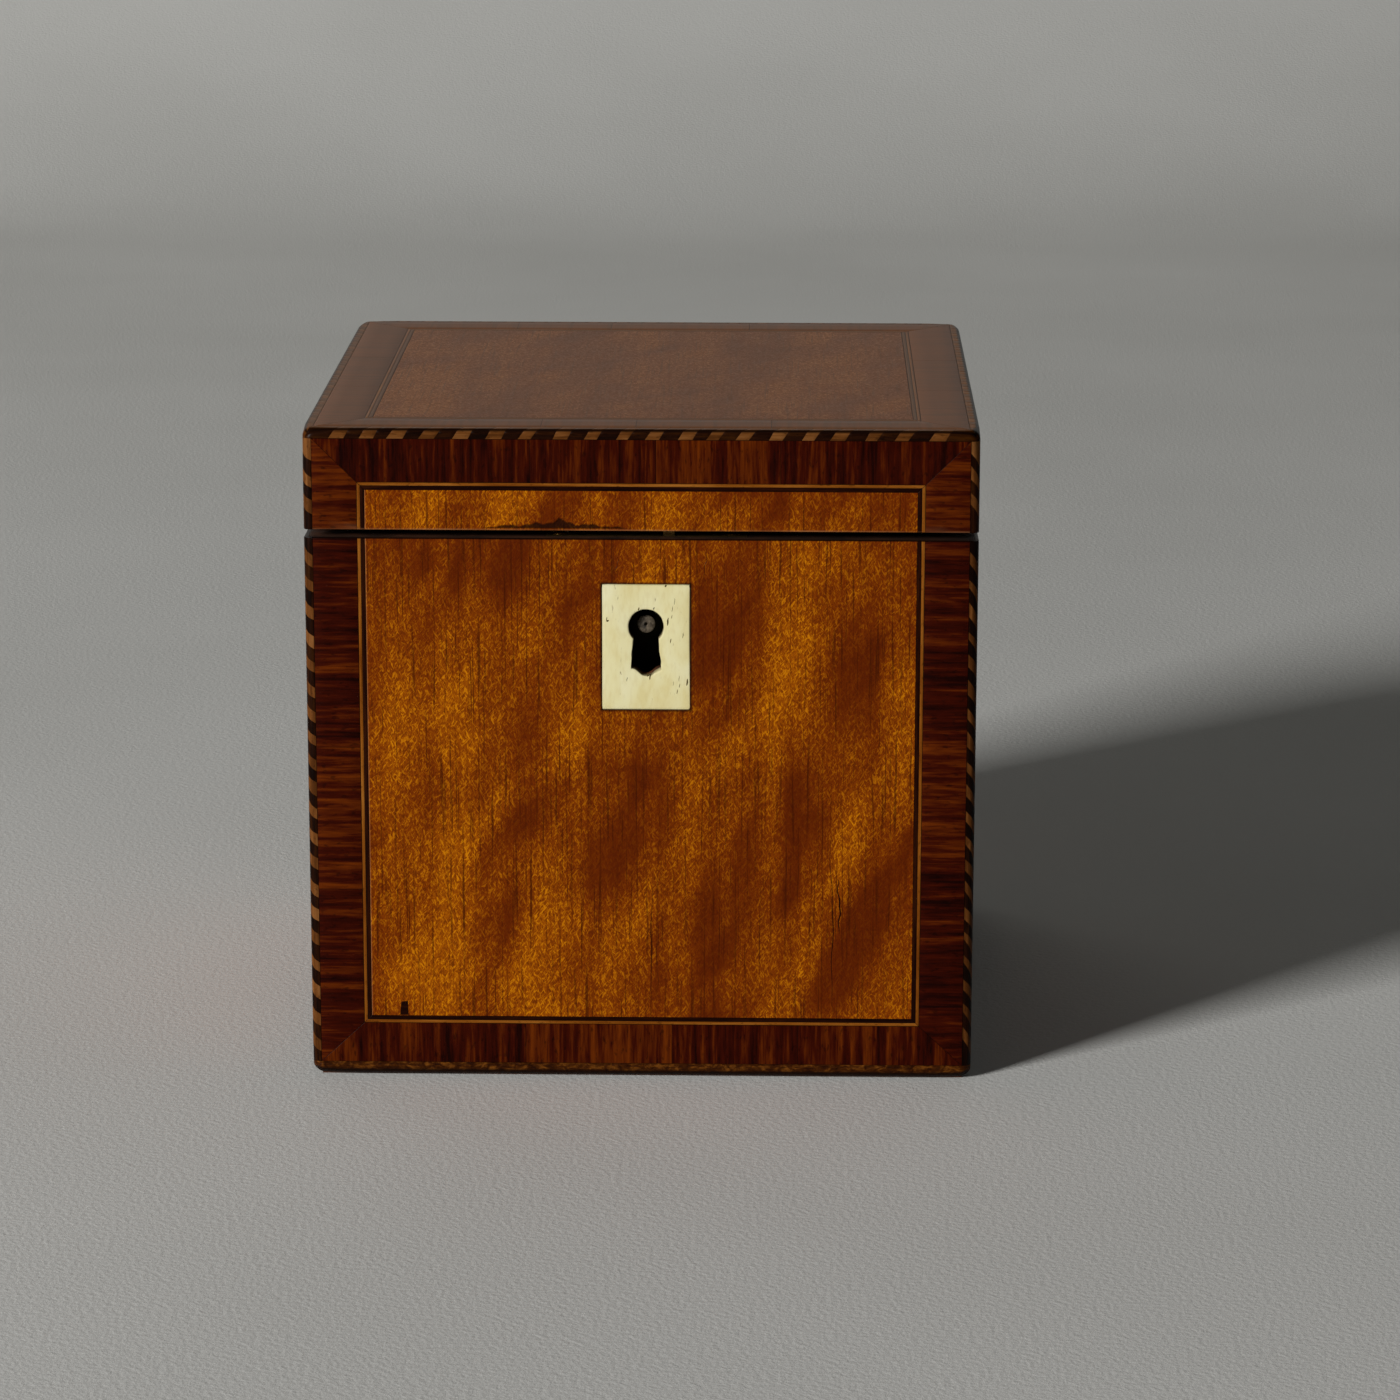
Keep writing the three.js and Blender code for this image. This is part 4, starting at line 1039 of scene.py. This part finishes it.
for part, body in (("body", "case"), ("lid", "lid")):
    for corner, (x, y) in CORNERS.items():
        node = f"{part}_{corner}_rope_edging"
        low, high = corners(node)
        rng = np.random.default_rng(sum(map(ord, node)))
        foot, head = (x * HALF, y * HALF, low[2]), (x * HALF, y * HALF, high[2])
        slant = -x * y * (0.55 if corner == "front_left" else 1.15)  # the front left joints lean less
        tone = ROPE_TONE_AND_SHADE.get(f"{part}_{corner}", 0.0)
        solids = rope(foot, head, SIZE_SIDE, (x, 0, 0), (0, y, 0), *UPRIGHT, slant, False, rng, tone)
        build("rope_" + node, solids, [ROPE_LIGHT, ROPE_DARK], body, [node])


def arris_of(face, z):
    """The two ends of a face's level edge at height z, from its left to its right."""
    right, up, out = FACES[face]
    return [out * HALF + side * right * HALF + up * z for side in (-1, 1)]


top_rope = []
rng = np.random.default_rng(5)
for face in SIDES:
    _, up, out = FACES[face]
    top_rope += rope(*arris_of(face, TOP_Z), SIZE_TOP, out, up, *LEVEL, 0.62, True, rng, faded=TOP_FADED)
node = "lid_top_rope_edging"
build("rope_" + node, top_rope, [ROPE_LIGHT, ROPE_DARK], "lid", [node])
print("blocks round the top:", len(top_rope))

# %% [markdown]
# ## Base edging
# A thin strip of brown wood runs round the foot, mitred at the corners. It could be one ring, but four
# sticks with mitred ends show the joints that the real one has. Each is a section carried along the edge;
# its lower half is painted nearly black, as the shade under the foot.


# %% Base edging
def mitred_stick(outline, start, end, first, second, grain_shift, **notes):
    """An outline of (p, q) carried from start to end with 45 degree mitres: at outline point p the ends
    lie -p further in. The rows are close together near the ends, where the corners are rubbed round."""
    length = np.linalg.norm(end - start)
    along = (end - start) / length
    near = 4 * MM
    close = np.linspace(0, near, 12)[:-1]
    share = np.concatenate([close, np.linspace(near, length - near, 38), length - close[::-1]]) / length
    share, rows = share[:, None], len(share)
    p, q = outline.T
    reach = (1 - share) * -p + share * (length + p)
    points = start + reach[..., None] * along + p[:, None] * first + q[:, None] * second
    outward = np.dot(np.cross(first, second), along) > 0
    around = np.concatenate([[0], np.cumsum(np.linalg.norm(np.diff(outline, axis=0), axis=1))])
    grain = np.stack([np.broadcast_to(around, reach.shape), reach], -1).reshape(-1, 2) + grain_shift
    notes = {name: np.tile(value, rows) for name, value in notes.items()}
    return solid(rubbed(points.reshape(-1, 3)), bar_faces(len(outline), rows, outward), grain, **notes)


low, high = corners("base_edging")
height = high[2] - low[2]
steps = np.linspace(0, 1, 9)[:, None]
foot_face = np.hstack([-SIZE_SIDE + SIZE_SIDE * steps, -height * np.ones_like(steps)])
outer_face = np.hstack([np.zeros_like(steps), -height + height * steps])
head_face = [[0.0, -0.12 * MM], [-0.12 * MM, 0.0], [-SIZE_SIDE, 0.0]]
base_section = np.vstack([foot_face[:-1], outer_face[:-1], head_face])
# The lower half is painted nearly black as the shade under the foot
underside_shade = 0.92 * (1 - smooth_step(base_section[:, 1], -1.5 * MM, -1.0 * MM))
rng = np.random.default_rng(12)
sticks = []
for face in SIDES:
    _, up, out = FACES[face]
    start, end = arris_of(face, high[2])
    shift = rng.uniform(0, 3, 2)
    sticks.append(mitred_stick(base_section, start, end, out, up, shift, hurt=underside_shade))
build("base_edging_strips", sticks, [BASE_WOOD], "case", ["base_edging"])
print("base edging", round(height / MM, 2), "mm high")

# %% [markdown]
# ## The bone plate
# The escutcheon is a rectangle of bone let into the panel, with a keyhole sawn and filed through it: a
# round over a slot that widens a little to an ogee foot. A boolean could cut it, but rings between the
# two outlines give cleaner edges: the inmost ring is the keyhole, the outmost is the rectangle, and the
# rings between blend them. The first and last rings close on the back, so the plate has no open edge.


# %% Keyhole outline
def keyhole_outline(count):
    """The keyhole round its centre, anticlockwise from the slot's right neck: an arc, a straight flare
    down the left, and a foot of two S-shaped curves that meet in a tip. A curve is a cubic between the
    shoulder and the tip, level at both. Returned at even steps of its own length."""
    radius, neck, flare, shoulder, tip = KEYHOLE
    start = math.asin(neck / radius)
    angle = np.linspace(start - np.pi / 2, 1.5 * np.pi - start, 90)
    arc = radius * np.stack([np.cos(angle), np.sin(angle)], -1)
    t = np.linspace(0, 1, 40)[:, None]
    pulls = np.array([[-flare, -shoulder], [-flare / 2, -shoulder], [-flare / 2, -tip], [0.0, -tip]])
    weights = ((1 - t) ** 3, 3 * (1 - t) ** 2 * t, 3 * (1 - t) * t**2, t**3)
    curve = sum(weight * pull for weight, pull in zip(weights, pulls))
    foot = np.vstack([curve, curve[::-1][1:] * [-1, 1]])
    line = np.vstack([arc, foot, arc[:1]])
    length = np.concatenate([[0], np.cumsum(np.linalg.norm(np.diff(line, axis=0), axis=1))])
    at = np.linspace(0, length[-1], count, endpoint=False)
    return np.stack([np.interp(at, length, line[:, 0]), np.interp(at, length, line[:, 1])], -1)


KEYHOLE = tuple(x * MM for x in (3.15, 2.27, 2.68, 7.65, 8.95))  # round, neck, flare, shoulder, tip
PIN_DROP = 15.85 * MM  # rim to the keyhole's centre
hole = keyhole_outline(168)
print("keyhole", np.round((hole.max(0) - hole.min(0)) / MM, 2), "mm")

# %% [markdown]
# The plate has lost a few crumbs at the keyhole's foot and its edges are a little uneven. The crumbs push
# the keyhole's ring outwards near four places; the unevenness is a few small waves.


# %% The plate
PLATE_CORNER = 0.28 * MM
CRUMBS = ((2.5, -6.2, 0.55), (2.1, -7.9, 0.4), (-2.3, -4.6, 0.22), (1.0, -8.4, 0.25))  # x, y, depth in mm
LIT_SIDE = (2.4, -5.8)  # where the filed edge slants most and the light reaches in, so its painted shade is lightest, in mm


def unit(vectors):
    return vectors / np.linalg.norm(vectors, axis=1)[:, None]


def near_in_mm(x, y, reach):
    """A bell curve on the keyhole's outline round a place, reach wide."""
    return np.exp(-((np.linalg.norm(hole - np.array([x, y]) * MM, axis=1) / (reach * MM)) ** 2))


def bone_plate():
    lo, hi = on_face("keyhole_escutcheon", "front")
    centre = np.array([(lo[0] + hi[0]) / 2, RIM_Z - PIN_DROP])
    count = len(hole)
    direction = unit(hole)
    k = np.arange(count) * 2 * np.pi / count
    wave = 0.014 * MM * (np.sin(7 * k + 1) + np.sin(17 * k) + 0.6 * np.sin(31 * k + 2))
    crumbs = sum(size * MM * near_in_mm(x, y, 0.75) for x, y, size in CRUMBS)
    inmost = centre + hole + direction * (wave + crumbs)[:, None]
    # The outmost ring: each direction goes on to the rectangle, and the four corners are rounded
    box_lo, box_hi = lo[:2] - centre, hi[:2] - centre
    with np.errstate(divide="ignore"):
        reach = np.abs(np.where(direction > 0, box_hi, box_lo) / direction).min(1)
    edge = direction * reach[:, None]
    for corner in [(u, v) for v in (box_lo[1], box_hi[1]) for u in (box_lo[0], box_hi[0])]:
        edge[np.argmin(np.linalg.norm(edge - corner, axis=1))] = corner
    outmost = centre + edge
    core = np.clip(outmost, lo[:2] + PLATE_CORNER, hi[:2] - PLATE_CORNER)
    over = outmost - core
    length = np.linalg.norm(over, axis=1)[:, None]
    outmost = core + over * np.minimum(1, PLATE_CORNER / np.maximum(length, 1e-9))
    inset = outmost - 0.2 * MM * unit(outmost - centre)
    # Each ring has its outline, its height and its painted shade; they go up the keyhole, over the face and
    # down
    face_w = hi[2] - 0.02 * MM
    lit_side = near_in_mm(*LIT_SIDE, 2.6)
    bevelled = inmost - direction * (0.05 + 0.24 * lit_side)[:, None] * MM
    rings = [(bevelled, lo[2], 0.95 - 0.5 * lit_side), (bevelled, face_w - 0.6 * MM, 0.85 - 0.6 * lit_side)]
    rings.append((inmost + direction * 0.03 * MM, face_w - 0.12 * MM, 0.5 - 0.4 * lit_side))
    for share in (0.0, 0.04, 0.12, 0.3, 0.55, 0.78, 0.93):
        blend = (inmost + direction * 0.2 * MM) * (1 - share) + (outmost - edge * 0.012) * share
        crown = 0.05 * MM * math.sin(math.pi * share)
        rings.append((blend, face_w + crown - 0.05 * MM, 0.0))
    rings += [(inset, face_w - 0.06 * MM, 0.1), (outmost, face_w - 0.24 * MM, 0.7), (outmost, lo[2], 1.0)]
    flat = np.concatenate([np.column_stack([ring, np.full(count, w)]) for ring, w, _ in rings])
    hurt = np.concatenate([np.broadcast_to(h, count) for _, _, h in rings])
    j, step = np.meshgrid(np.arange(len(rings)), np.arange(count), indexing="ij")
    up, nxt = (j + 1) % len(rings), (step + 1) % count
    faces = np.stack([j * count + step, up * count + step, up * count + nxt, j * count + nxt], -1)
    return solid(flat @ FACES["front"], faces.reshape(-1, 4), flat[:, :2], hurt=hurt)


build("bone_keyhole_plate", [bone_plate()], [BONE], "case", ["keyhole_escutcheon"])
low, high = on_face("keyhole_escutcheon", "front")
middle, level = (low + high) / 2 / MM, high[2] / MM - 0.05
# Pores in mm from the plate's middle: x, y, length, width
PORES = [(5.1, 8.4, 1.4, 0.2), (4.7, 7.0, 1.1, 0.18), (3.9, 4.7, 1.5, 0.28), (4.6, 5.6, 0.7, 0.2)]
PORES += [(4.4, 1.2, 0.9, 0.3), (5.9, -5.7, 1.1, 0.16), (7.35, -6.4, 1.3, 0.26), (5.6, -8.1, 0.9, 0.22)]
PORES += [(-7.0, 5.1, 0.9, 0.16), (-6.8, 4.8, 0.35, 0.5), (-3.4, -5.9, 0.8, 0.16), (0.7, -5.5, 0.9, 0.2)]
PORES += [(0.3, -5.0, 0.7, 0.14), (-1.3, 7.0, 0.6, 0.2), (1.4, 7.1, 0.5, 0.16), (3.5, 11.2, 0.4, 0.3)]
PORES += [(6.6, 2.2, 1.0, 0.14), (6.0, -7.0, 0.8, 0.2), (4.9, -6.6, 0.9, 0.13)]
dashes = []
for i, (x, y, long, wide) in enumerate(PORES):
    ends = [(middle[0] + x + d * 0.06, middle[1] + y + d * long / 2, level) for d in (1, -1)]
    dashes.append(sliver(ends, wide, 0.6, 0.045 * MM, rows=10, wander=0.02, seed=i))
build("bone_pores", dashes, [OLD_DIRT], "case")
print("rings of", len(hole), "points")

# %% [markdown]
# ## The drill pin
# Behind the keyhole stands the pin that a piped key slides over. Its end is hammered round and has a
# drilled dent, painted dark in and beside it as shade. The design has the pin as part of the lock; this is
# a turned cap over its end.


# %% Pieces turned about a line
def turned_solid(profile, steps, origin, axes, **notes):
    """A turned profile stood up at origin: axes are three unit vectors, the last along the turning line."""
    points, faces = ringed(profile, round_ring(steps))
    grain = np.column_stack([np.arctan2(points[:, 1], points[:, 0]) * 2 * MM, points[:, 2]])
    return solid(origin + points @ np.array(axes, float), faces, grain, **notes)


def dome(radius, rise, rows):
    """Quarter-ellipse profile from the rim to the axis."""
    angle = np.linspace(0, np.pi / 2, rows)
    return np.stack([radius * np.cos(angle), rise * np.sin(angle)], -1)


PIN_RADIUS = 1.62 * MM
pin_end = np.array([LOCK_X, LOCK_LO[1], RIM_Z - PIN_DROP])
shank = np.array([[0.0, -0.7], [PIN_RADIUS / MM, -0.7]]) * MM
drilled = np.array([[0.42, 0.28], [0.3, 0.14], [0.16, -0.1], [0.0, -0.16]]) * MM
profile = np.vstack([shank, dome(PIN_RADIUS, 0.3 * MM, 9)[:-2], drilled])
points, _ = ringed(profile, round_ring(36))
aside = np.hypot(points[:, 0] + 0.3 * MM, 0.55 * points[:, 1] + 0.12 * MM)
# Painted shade in the dent and beside it, where the light does not reach
dent_shade = np.clip(1.6 - aside / (0.32 * MM), 0, 1) * (points[:, 2] > -0.5 * MM)
cap = turned_solid(profile, 36, pin_end, FACES["front"], hurt=0.9 * dent_shade)
build("drill_pin_end", [cap], [PIN_STEEL], "case")
print("pin end at", np.round(pin_end / MM, 1))

# %% [markdown]
# ## Screws
# Old brass screws have slotted, slightly raised heads. Each is a turned disc with two half domes on it;
# the gap between the halves is the slot, so it is a real groove and needs no boolean.


# %% Slotted screw heads
def half_head(radius, slot, rise, turn, rows=5, steps=14):
    """Half a domed head: a D-shaped outline, shrinking as it rises like the quarter of an ellipse."""
    reach = math.asin(slot / radius)
    angle = np.linspace(reach, np.pi - reach, steps)
    outline = radius * np.stack([np.cos(angle), np.sin(angle)], -1)
    levels = np.linspace(0, 1, rows)[:-1]
    rings = []
    for level in [*levels, 0.97]:
        grow = math.sqrt(1 - level**2)
        ring = outline * grow + [0, slot * (1 - grow)]
        rings.append(np.column_stack([ring, np.full(steps, rise * level)]))
    points = np.vstack(rings)
    c, s = math.cos(turn), math.sin(turn)
    return points @ np.array([[c, s, 0], [-s, c, 0], [0, 0, 1]]), bar_faces(steps, len(rings))


def screw(spot, axes, turn, radius=1.55 * MM, rise=0.34 * MM):
    """A raised slotted head at spot, standing out along the last of the axes."""
    disc = [[0, -0.3 * MM], [radius, -0.3 * MM], [radius, 0.04 * MM], [0, 0.05 * MM]]
    # The disc shows in the slot and is painted darker as the shade there
    parts = [turned_solid(disc, 28, spot, axes, hurt=0.6)]
    for flip in (0.0, math.pi):
        points, faces = half_head(radius, 0.2 * MM, rise, turn + flip)
        parts.append(solid(spot + points @ axes, faces))
    return parts


UP = np.eye(3)
DOWN = np.diag([1.0, -1.0, -1.0])
rng = np.random.default_rng(31)
middle_y = (LOCK_LO[1] + 0.4 * MM + LOCK_HI[1]) / 2
case_screws, lid_screws = [], []
for offset in (-15.4 * MM, 15.4 * MM):
    case_screws += screw(np.array([LOCK_X + offset, middle_y, RIM_Z]), UP, rng.uniform(0, 3.1))
    lid_screws += screw(np.array([LOCK_X + offset, middle_y, LID_Z]), DOWN, rng.uniform(0, 3.1))
build("lock_screws", case_screws, [BRASS], "case")
build("link_plate_screws", lid_screws, [BRASS], "lid")
print("screws:", len(case_screws) // 3 + len(lid_screws) // 3)

# %% [markdown]
# ## Hinges
# A butt hinge is two plates whose knuckles take turns on one pin. The section of a knuckle is a circle
# with the plate running off it as a tangent; carried along the pin, that is a bar with eased ends. The
# plate is a slab with rounded edges, and three screws hold it in its mortise.

# %% Hinge leaves, pins and screws
KNUCKLES = 5
KNUCKLE_GAP = 0.15 * MM
BARREL = 1.8 * MM
PLATE = BARREL - (LID_Z - RIM_Z) / 2  # thickness of a leaf


def knuckle(x0, x1, axis, up):
    """A round with a tangent strip towards the wood, carried from x0 to x1, drawn in at both ends."""
    angle = np.linspace(np.pi / 2, -np.pi, 40)  # from the tangent point round to the plate's inner side
    low = BARREL - PLATE
    round_part = BARREL * np.stack([np.cos(angle), np.sin(angle)], -1)
    round_part = round_part[(round_part[:, 0] > -1e-9) | (round_part[:, 1] < low)]
    strip = -(BARREL + 0.45 * MM)
    outline = np.vstack([[[strip, BARREL]], round_part, [[-1.7 * MM, low], [strip, low]]])
    outline[:, 1] *= up
    stations = []
    eased = ((0.0, 0.12), (0.04 * MM, 0.03), (0.14 * MM, 0.0))  # from the end, and how far drawn in, in mm
    for x, inset in [(x0 + run, i) for run, i in eased] + [(x1 - run, i) for run, i in eased[::-1]]:
        shrunk = outline * (1 - inset * MM / BARREL) + axis
        stations.append(np.column_stack([np.full(len(outline), x), shrunk]))
    return solid(np.vstack(stations), bar_faces(len(outline), len(stations), up < 0))


def hinge_plate(x0, x1, y0, y1, z_face, z_back):
    """A slab with rolled edges on the side that shows; z_face is that side."""
    x, y, layer, faces = slab_cells(spaced(x0, x1, 3 * MM), spaced(y0, y1, 2 * MM))
    own = away_from((x0, x1, y0, y1), x, y, True)
    sign = 1.0 if z_face > z_back else -1.0
    z = np.where(layer > 0, z_face - sign * roll(own, GROOVE * 1.5), z_back)
    return solid(np.stack([x, y, z], -1), faces if sign > 0 else faces[:, ::-1])


for side in ("left", "right"):
    pin_lo, pin_hi = corners(f"{side}_hinge_pin")
    axis = ((pin_lo + pin_hi) / 2)[1:]
    pin_radius = (pin_hi - pin_lo)[2] / 2
    x0, x1 = pin_lo[0], pin_hi[0]
    length = (x1 - x0 - (KNUCKLES - 1) * KNUCKLE_GAP) / KNUCKLES
    for part, first, up, body in (("body", 0, -1, "case"), ("lid", 1, 1, "lid")):
        node = f"{side}_hinge_{part}_leaf"
        low, high = corners(node)
        face_z, back_z = axis[1] + up * (BARREL - PLATE), low[2] if up < 0 else high[2]
        solids = [hinge_plate(x0, x1, low[1], axis[0] - BARREL - 0.3 * MM, face_z, back_z)]
        for i in range(first, KNUCKLES, 2):
            start = x0 + i * (length + KNUCKLE_GAP)
            solids.append(knuckle(start, start + length, axis, up))
        build(f"hinge_{side}_{part}_leaf", solids, [BRASS], body, [node])
        heads = []
        for share, depth in ((0.14, 2.6), (0.5, 4.3), (0.86, 2.6)):
            spot = np.array([x0 + share * (x1 - x0), low[1] + depth * MM, face_z])
            heads += screw(spot, UP if up < 0 else DOWN, rng.uniform(0, 3.1), 1.35 * MM, 0.28 * MM)
        build(f"hinge_{side}_{part}_screws", heads, [BRASS], body)
    end = dome(pin_radius, 0.32 * MM, 6)
    pin_profile = np.vstack([end[::-1] * [1, -1], end + [0, x1 - x0]])
    lying = np.roll(UP, 1, axis=1)  # the turning line runs to the right
    pin = turned_solid(pin_profile, 24, np.array([x0, *axis]), lying)
    build(f"hinge_{side}_pin", [pin], [STEEL], "case", [f"{side}_hinge_pin"])
print("knuckle length", round(length / MM, 2), "mm")

# %% [markdown]
# ## The tea lining
# Thin wood lined with lead foil stands in the box. The foil was pressed in by hand, so its walls are full
# of low dents and folds. Rings of a square with rounded corners climb the outside, cross the rim, go down
# the inside and close on the floor's middle. The dents are folded waves: the absolute value of sines that
# run in random directions.


# %% Foil
def dents(points, seed, depth):
    """Folded waves in four directions, from 9 to 31 mm long, all between 0 and depth."""
    rng = np.random.default_rng(seed)
    total = np.zeros(len(points))
    for length, share in ((31, 0.4), (19, 0.3), (13, 0.2), (9, 0.1)):
        turn = rng.normal(size=3)
        turn /= np.linalg.norm(turn)
        bend = 0.35 * np.sin(points @ rng.normal(size=3) / (17 * MM) + rng.uniform(0, 6))
        total += share * np.abs(np.sin(points @ turn * np.pi / (length * MM) + bend + rng.uniform(0, 3)))
    return total * depth


lo, hi = corners("tea_liner")
LINING = 1.8 * MM  # thickness of the wood and its foil
half, rim, floor = hi[0] - 0.05 * MM, hi[2], lo[2] + LINING
inner = half - LINING
profile = [[0, lo[2]], [half, lo[2]], [half, rim - 0.7 * MM], [half - 0.3 * MM, rim - 0.1 * MM]]
profile += [[(half + inner) / 2, rim], [inner + 0.3 * MM, rim - 0.1 * MM]]
profile += [[inner, z] for z in np.linspace(rim - 0.6 * MM, floor + 0.7 * MM, 40)]
profile += [[inner - 0.7 * MM, floor]]
profile += [[r, floor] for r in np.linspace(inner - 2.5 * MM, 2 * MM, 22)] + [[0, floor]]
points, faces = ringed(profile, square_ring(200))
away = np.abs(points[:, :2]).max(1)
inside = (away < inner + 0.1 * MM) & (points[:, 2] > floor - 0.1 * MM)
on_wall = inside & (points[:, 2] > floor + 0.3 * MM)
push = np.where(inside, dents(points, 3, 0.55 * MM), 0.0)
inward = -points[:, :2] * (np.abs(points[:, :2]) > away[:, None] - 0.5 * MM)
inward = inward / np.maximum(np.linalg.norm(inward, axis=1)[:, None], 1e-9)
points[:, :2] += np.where(on_wall[:, None], inward * push[:, None], 0.0)
points[:, 2] += np.where(inside & ~on_wall, push * np.clip((inner - away) / (4 * MM), 0, 1), 0.0)
foil = solid(points, faces, points[:, :2])
build("lead_foil_lining", [foil], [TEA_LEAD], "case", ["tea_liner"])
print("lining", len(points), "points")

# %% [markdown]
# ## Inner lid
# A loose board lies on the lining, with a turned bone knob to lift it by. The board is a stack of square
# rings with eased edges; its middle is a shallow hollow, as thin boards cup. The knob is one profile
# turned round its axis: foot, waist and a flattened ball with a small button.

# %% Board and knob
lo, hi = corners("inner_lid")
half, EASE, CUP = hi[0], 0.8 * MM, 0.12 * MM
quarter = np.linspace(0, np.pi / 2, 6)
profile = [[0, lo[2]], [half - 0.4 * MM, lo[2]], [half, lo[2] + 0.4 * MM]]
profile += [[half - EASE * (1 - math.cos(a)), hi[2] - EASE * (1 - math.sin(a))] for a in quarter]
profile += [[r, hi[2] - CUP * (1 - (r / half) ** 2)] for r in np.linspace(half - 3 * MM, 2 * MM, 14)]
profile += [[0, hi[2] - CUP]]
points, faces = ringed(profile, square_ring(160))
board = solid(points, faces, points[:, :2])
build("inner_lid_board", [board], [INNER_WOOD], "inner_lid", ["inner_lid"])

knob_lo, knob_hi = corners("inner_lid_knob")
foot, top = hi[2] - 0.05 * MM, knob_hi[2]
# Radii and heights in mm: the tenon, then foot and waist above the board, then the button below the top
tenon = [[0, knob_lo[2]], [1.4 * MM, knob_lo[2]]]
waist = [[1.4, -0.3], [3.4, -0.3], [3.58, 0.25], [3.5, 0.7], [3.1, 0.95], [2.5, 1.05], [2.1, 1.35]]
waist += [[1.75, 1.9], [1.72, 2.3]]
button = [[0.75, -0.06], [0.7, -0.1], [0.5, -0.02], [0, 0]]
turn = np.radians(np.linspace(-52, 90, 22))
ball = np.stack([3.38 * np.cos(turn), 2.08 * np.sin(turn) - 2.08 - 0.05], -1)
ball = ball[ball[:, 0] > 0.9]
stacked = [tenon, np.array(waist) * MM + [0, foot], ball * MM + [0, top], np.array(button) * MM + [0, top]]
knob = turned_solid(np.vstack(stacked), 48, np.zeros(3), UP)
build("turned_knob", [knob], [BONE], "inner_lid", ["inner_lid_knob"])
print("knob", round((top - foot) / MM, 2), "mm high")

# %% [markdown]
# ## Finishes for the boards and the lock
# The mahogany boards, the lock, its bolt and the link plate keep the shapes of the design. Only their
# material slots are filled: boards whose grain runs along x or y, old brass, and steel for the bolt.

# %% Materials on the design's own parts
BOARDS = {
    "x": ("bottom_board", "front_wall", "back_wall", "lid_board", "lid_front_rail", "lid_back_rail"),
    "y": ("left_wall", "right_wall", "lid_left_rail", "lid_right_rail"),
}
FINISH_OF = {name: BOARD_WOODS[axis] for axis, names in BOARDS.items() for name in names}
FINISH_OF.update({"lock_case": LOCK_BRASS, "link_plate": BRASS, "lock_bolt": STEEL})
for name, finish in FINISH_OF.items():
    carried = bpy.data.objects[name]
    for place in carried.material_slots:
        place.material = finish
    if not carried.material_slots:
        carried.data.materials.append(finish)
print("finished nodes:", len(FINISH_OF))

# %% [markdown]
# ## Floor and light
# The caddy stands on a pale sweep: a floor that curves up into a wall far behind, so that no horizon
# shows from the front and the polished top has something pale to mirror. A soft light stands low at the
# front left; it makes one long shadow to the back right. A much weaker one in front opens the dark woods.


# %% The sweep
def sweep():
    """A flat floor, a quarter circle and a wall, carried across. On the circle the height is the radius
    times one less the cosine."""
    radius, back, front, tall, wide = 0.6, 1.0, -1.6, 1.9, 2.2
    arc = np.linspace(0, np.pi / 2, 24)
    y = np.concatenate([np.linspace(front, back, 12)[:-1], back + radius * np.sin(arc), [back + radius]])
    z = np.concatenate([np.zeros(11), radius * (1 - np.cos(arc)), [tall]])
    x = np.linspace(-wide, wide, 9)
    across, run = np.meshgrid(np.arange(len(x)), np.arange(len(y)), indexing="ij")
    points = np.stack([x[across], y[run], z[run]], -1).reshape(-1, 3)
    index = np.arange(len(points)).reshape(across.shape)
    faces = np.stack([index[:-1, :-1], index[1:, :-1], index[1:, 1:], index[:-1, 1:]], -1).reshape(-1, 4)
    mesh = bpy.data.meshes.new("sweep")
    mesh.from_pydata(points.tolist(), [], faces.tolist())
    mesh.polygons.foreach_set("use_smooth", np.ones(len(faces), bool))
    return bpy.data.objects.new("sweep", mesh)


def paper():
    r = Recipe("paper", 0.85, IOR=1.2)
    cloud = r.noise(r.place(), 6.0, 3.0)
    tooth = r.noise(r.place(), 900.0, 3.0, 0.6)
    colour = r.ramp(cloud, (0.3, (0.58, 0.575, 0.545)), (0.7, (0.63, 0.625, 0.595)))
    return r.done(colour, None, tooth, 0.15 * MM)


floor_object = sweep()
floor_object.data.materials.append(paper())
bpy.context.scene.collection.objects.link(floor_object)
print("sweep", len(floor_object.data.vertices), "points")


# %% Lights
AIM = np.array([0.0, 0.0, 50.0]) * MM  # a little below the middle of the box


def area_light(name, azimuth, elevation, distance, size, power):
    """A square light that looks at the box; azimuth is turned from the front towards the right."""
    data = bpy.data.lights.new(name, "AREA")
    data.size, data.energy = size, power
    light = bpy.data.objects.new(name, data)
    a, e = math.radians(azimuth), math.radians(elevation)
    way = np.array([math.sin(a) * math.cos(e), -math.cos(a) * math.cos(e), math.sin(e)])
    light.location = AIM + distance * way
    light.rotation_euler = (math.pi / 2 - e, 0.0, a)
    bpy.context.scene.collection.objects.link(light)
    return light


key = area_light("key", -47, 19, 3.6, 0.75, 158.0)
fill = area_light("fill", 20, 40, 3.0, 2.0, 1.0)

world = bpy.data.worlds.new("studio")
world.use_nodes = True
background = world.node_tree.nodes["Background"]
background.inputs["Color"].default_value = (0.9, 0.95, 1.0, 1.0)
background.inputs["Strength"].default_value = 0.02
bpy.context.scene.world = world
bpy.context.scene.view_settings.view_transform = "Standard"
print("key", key.data.energy, "W, fill", fill.data.energy, "W")
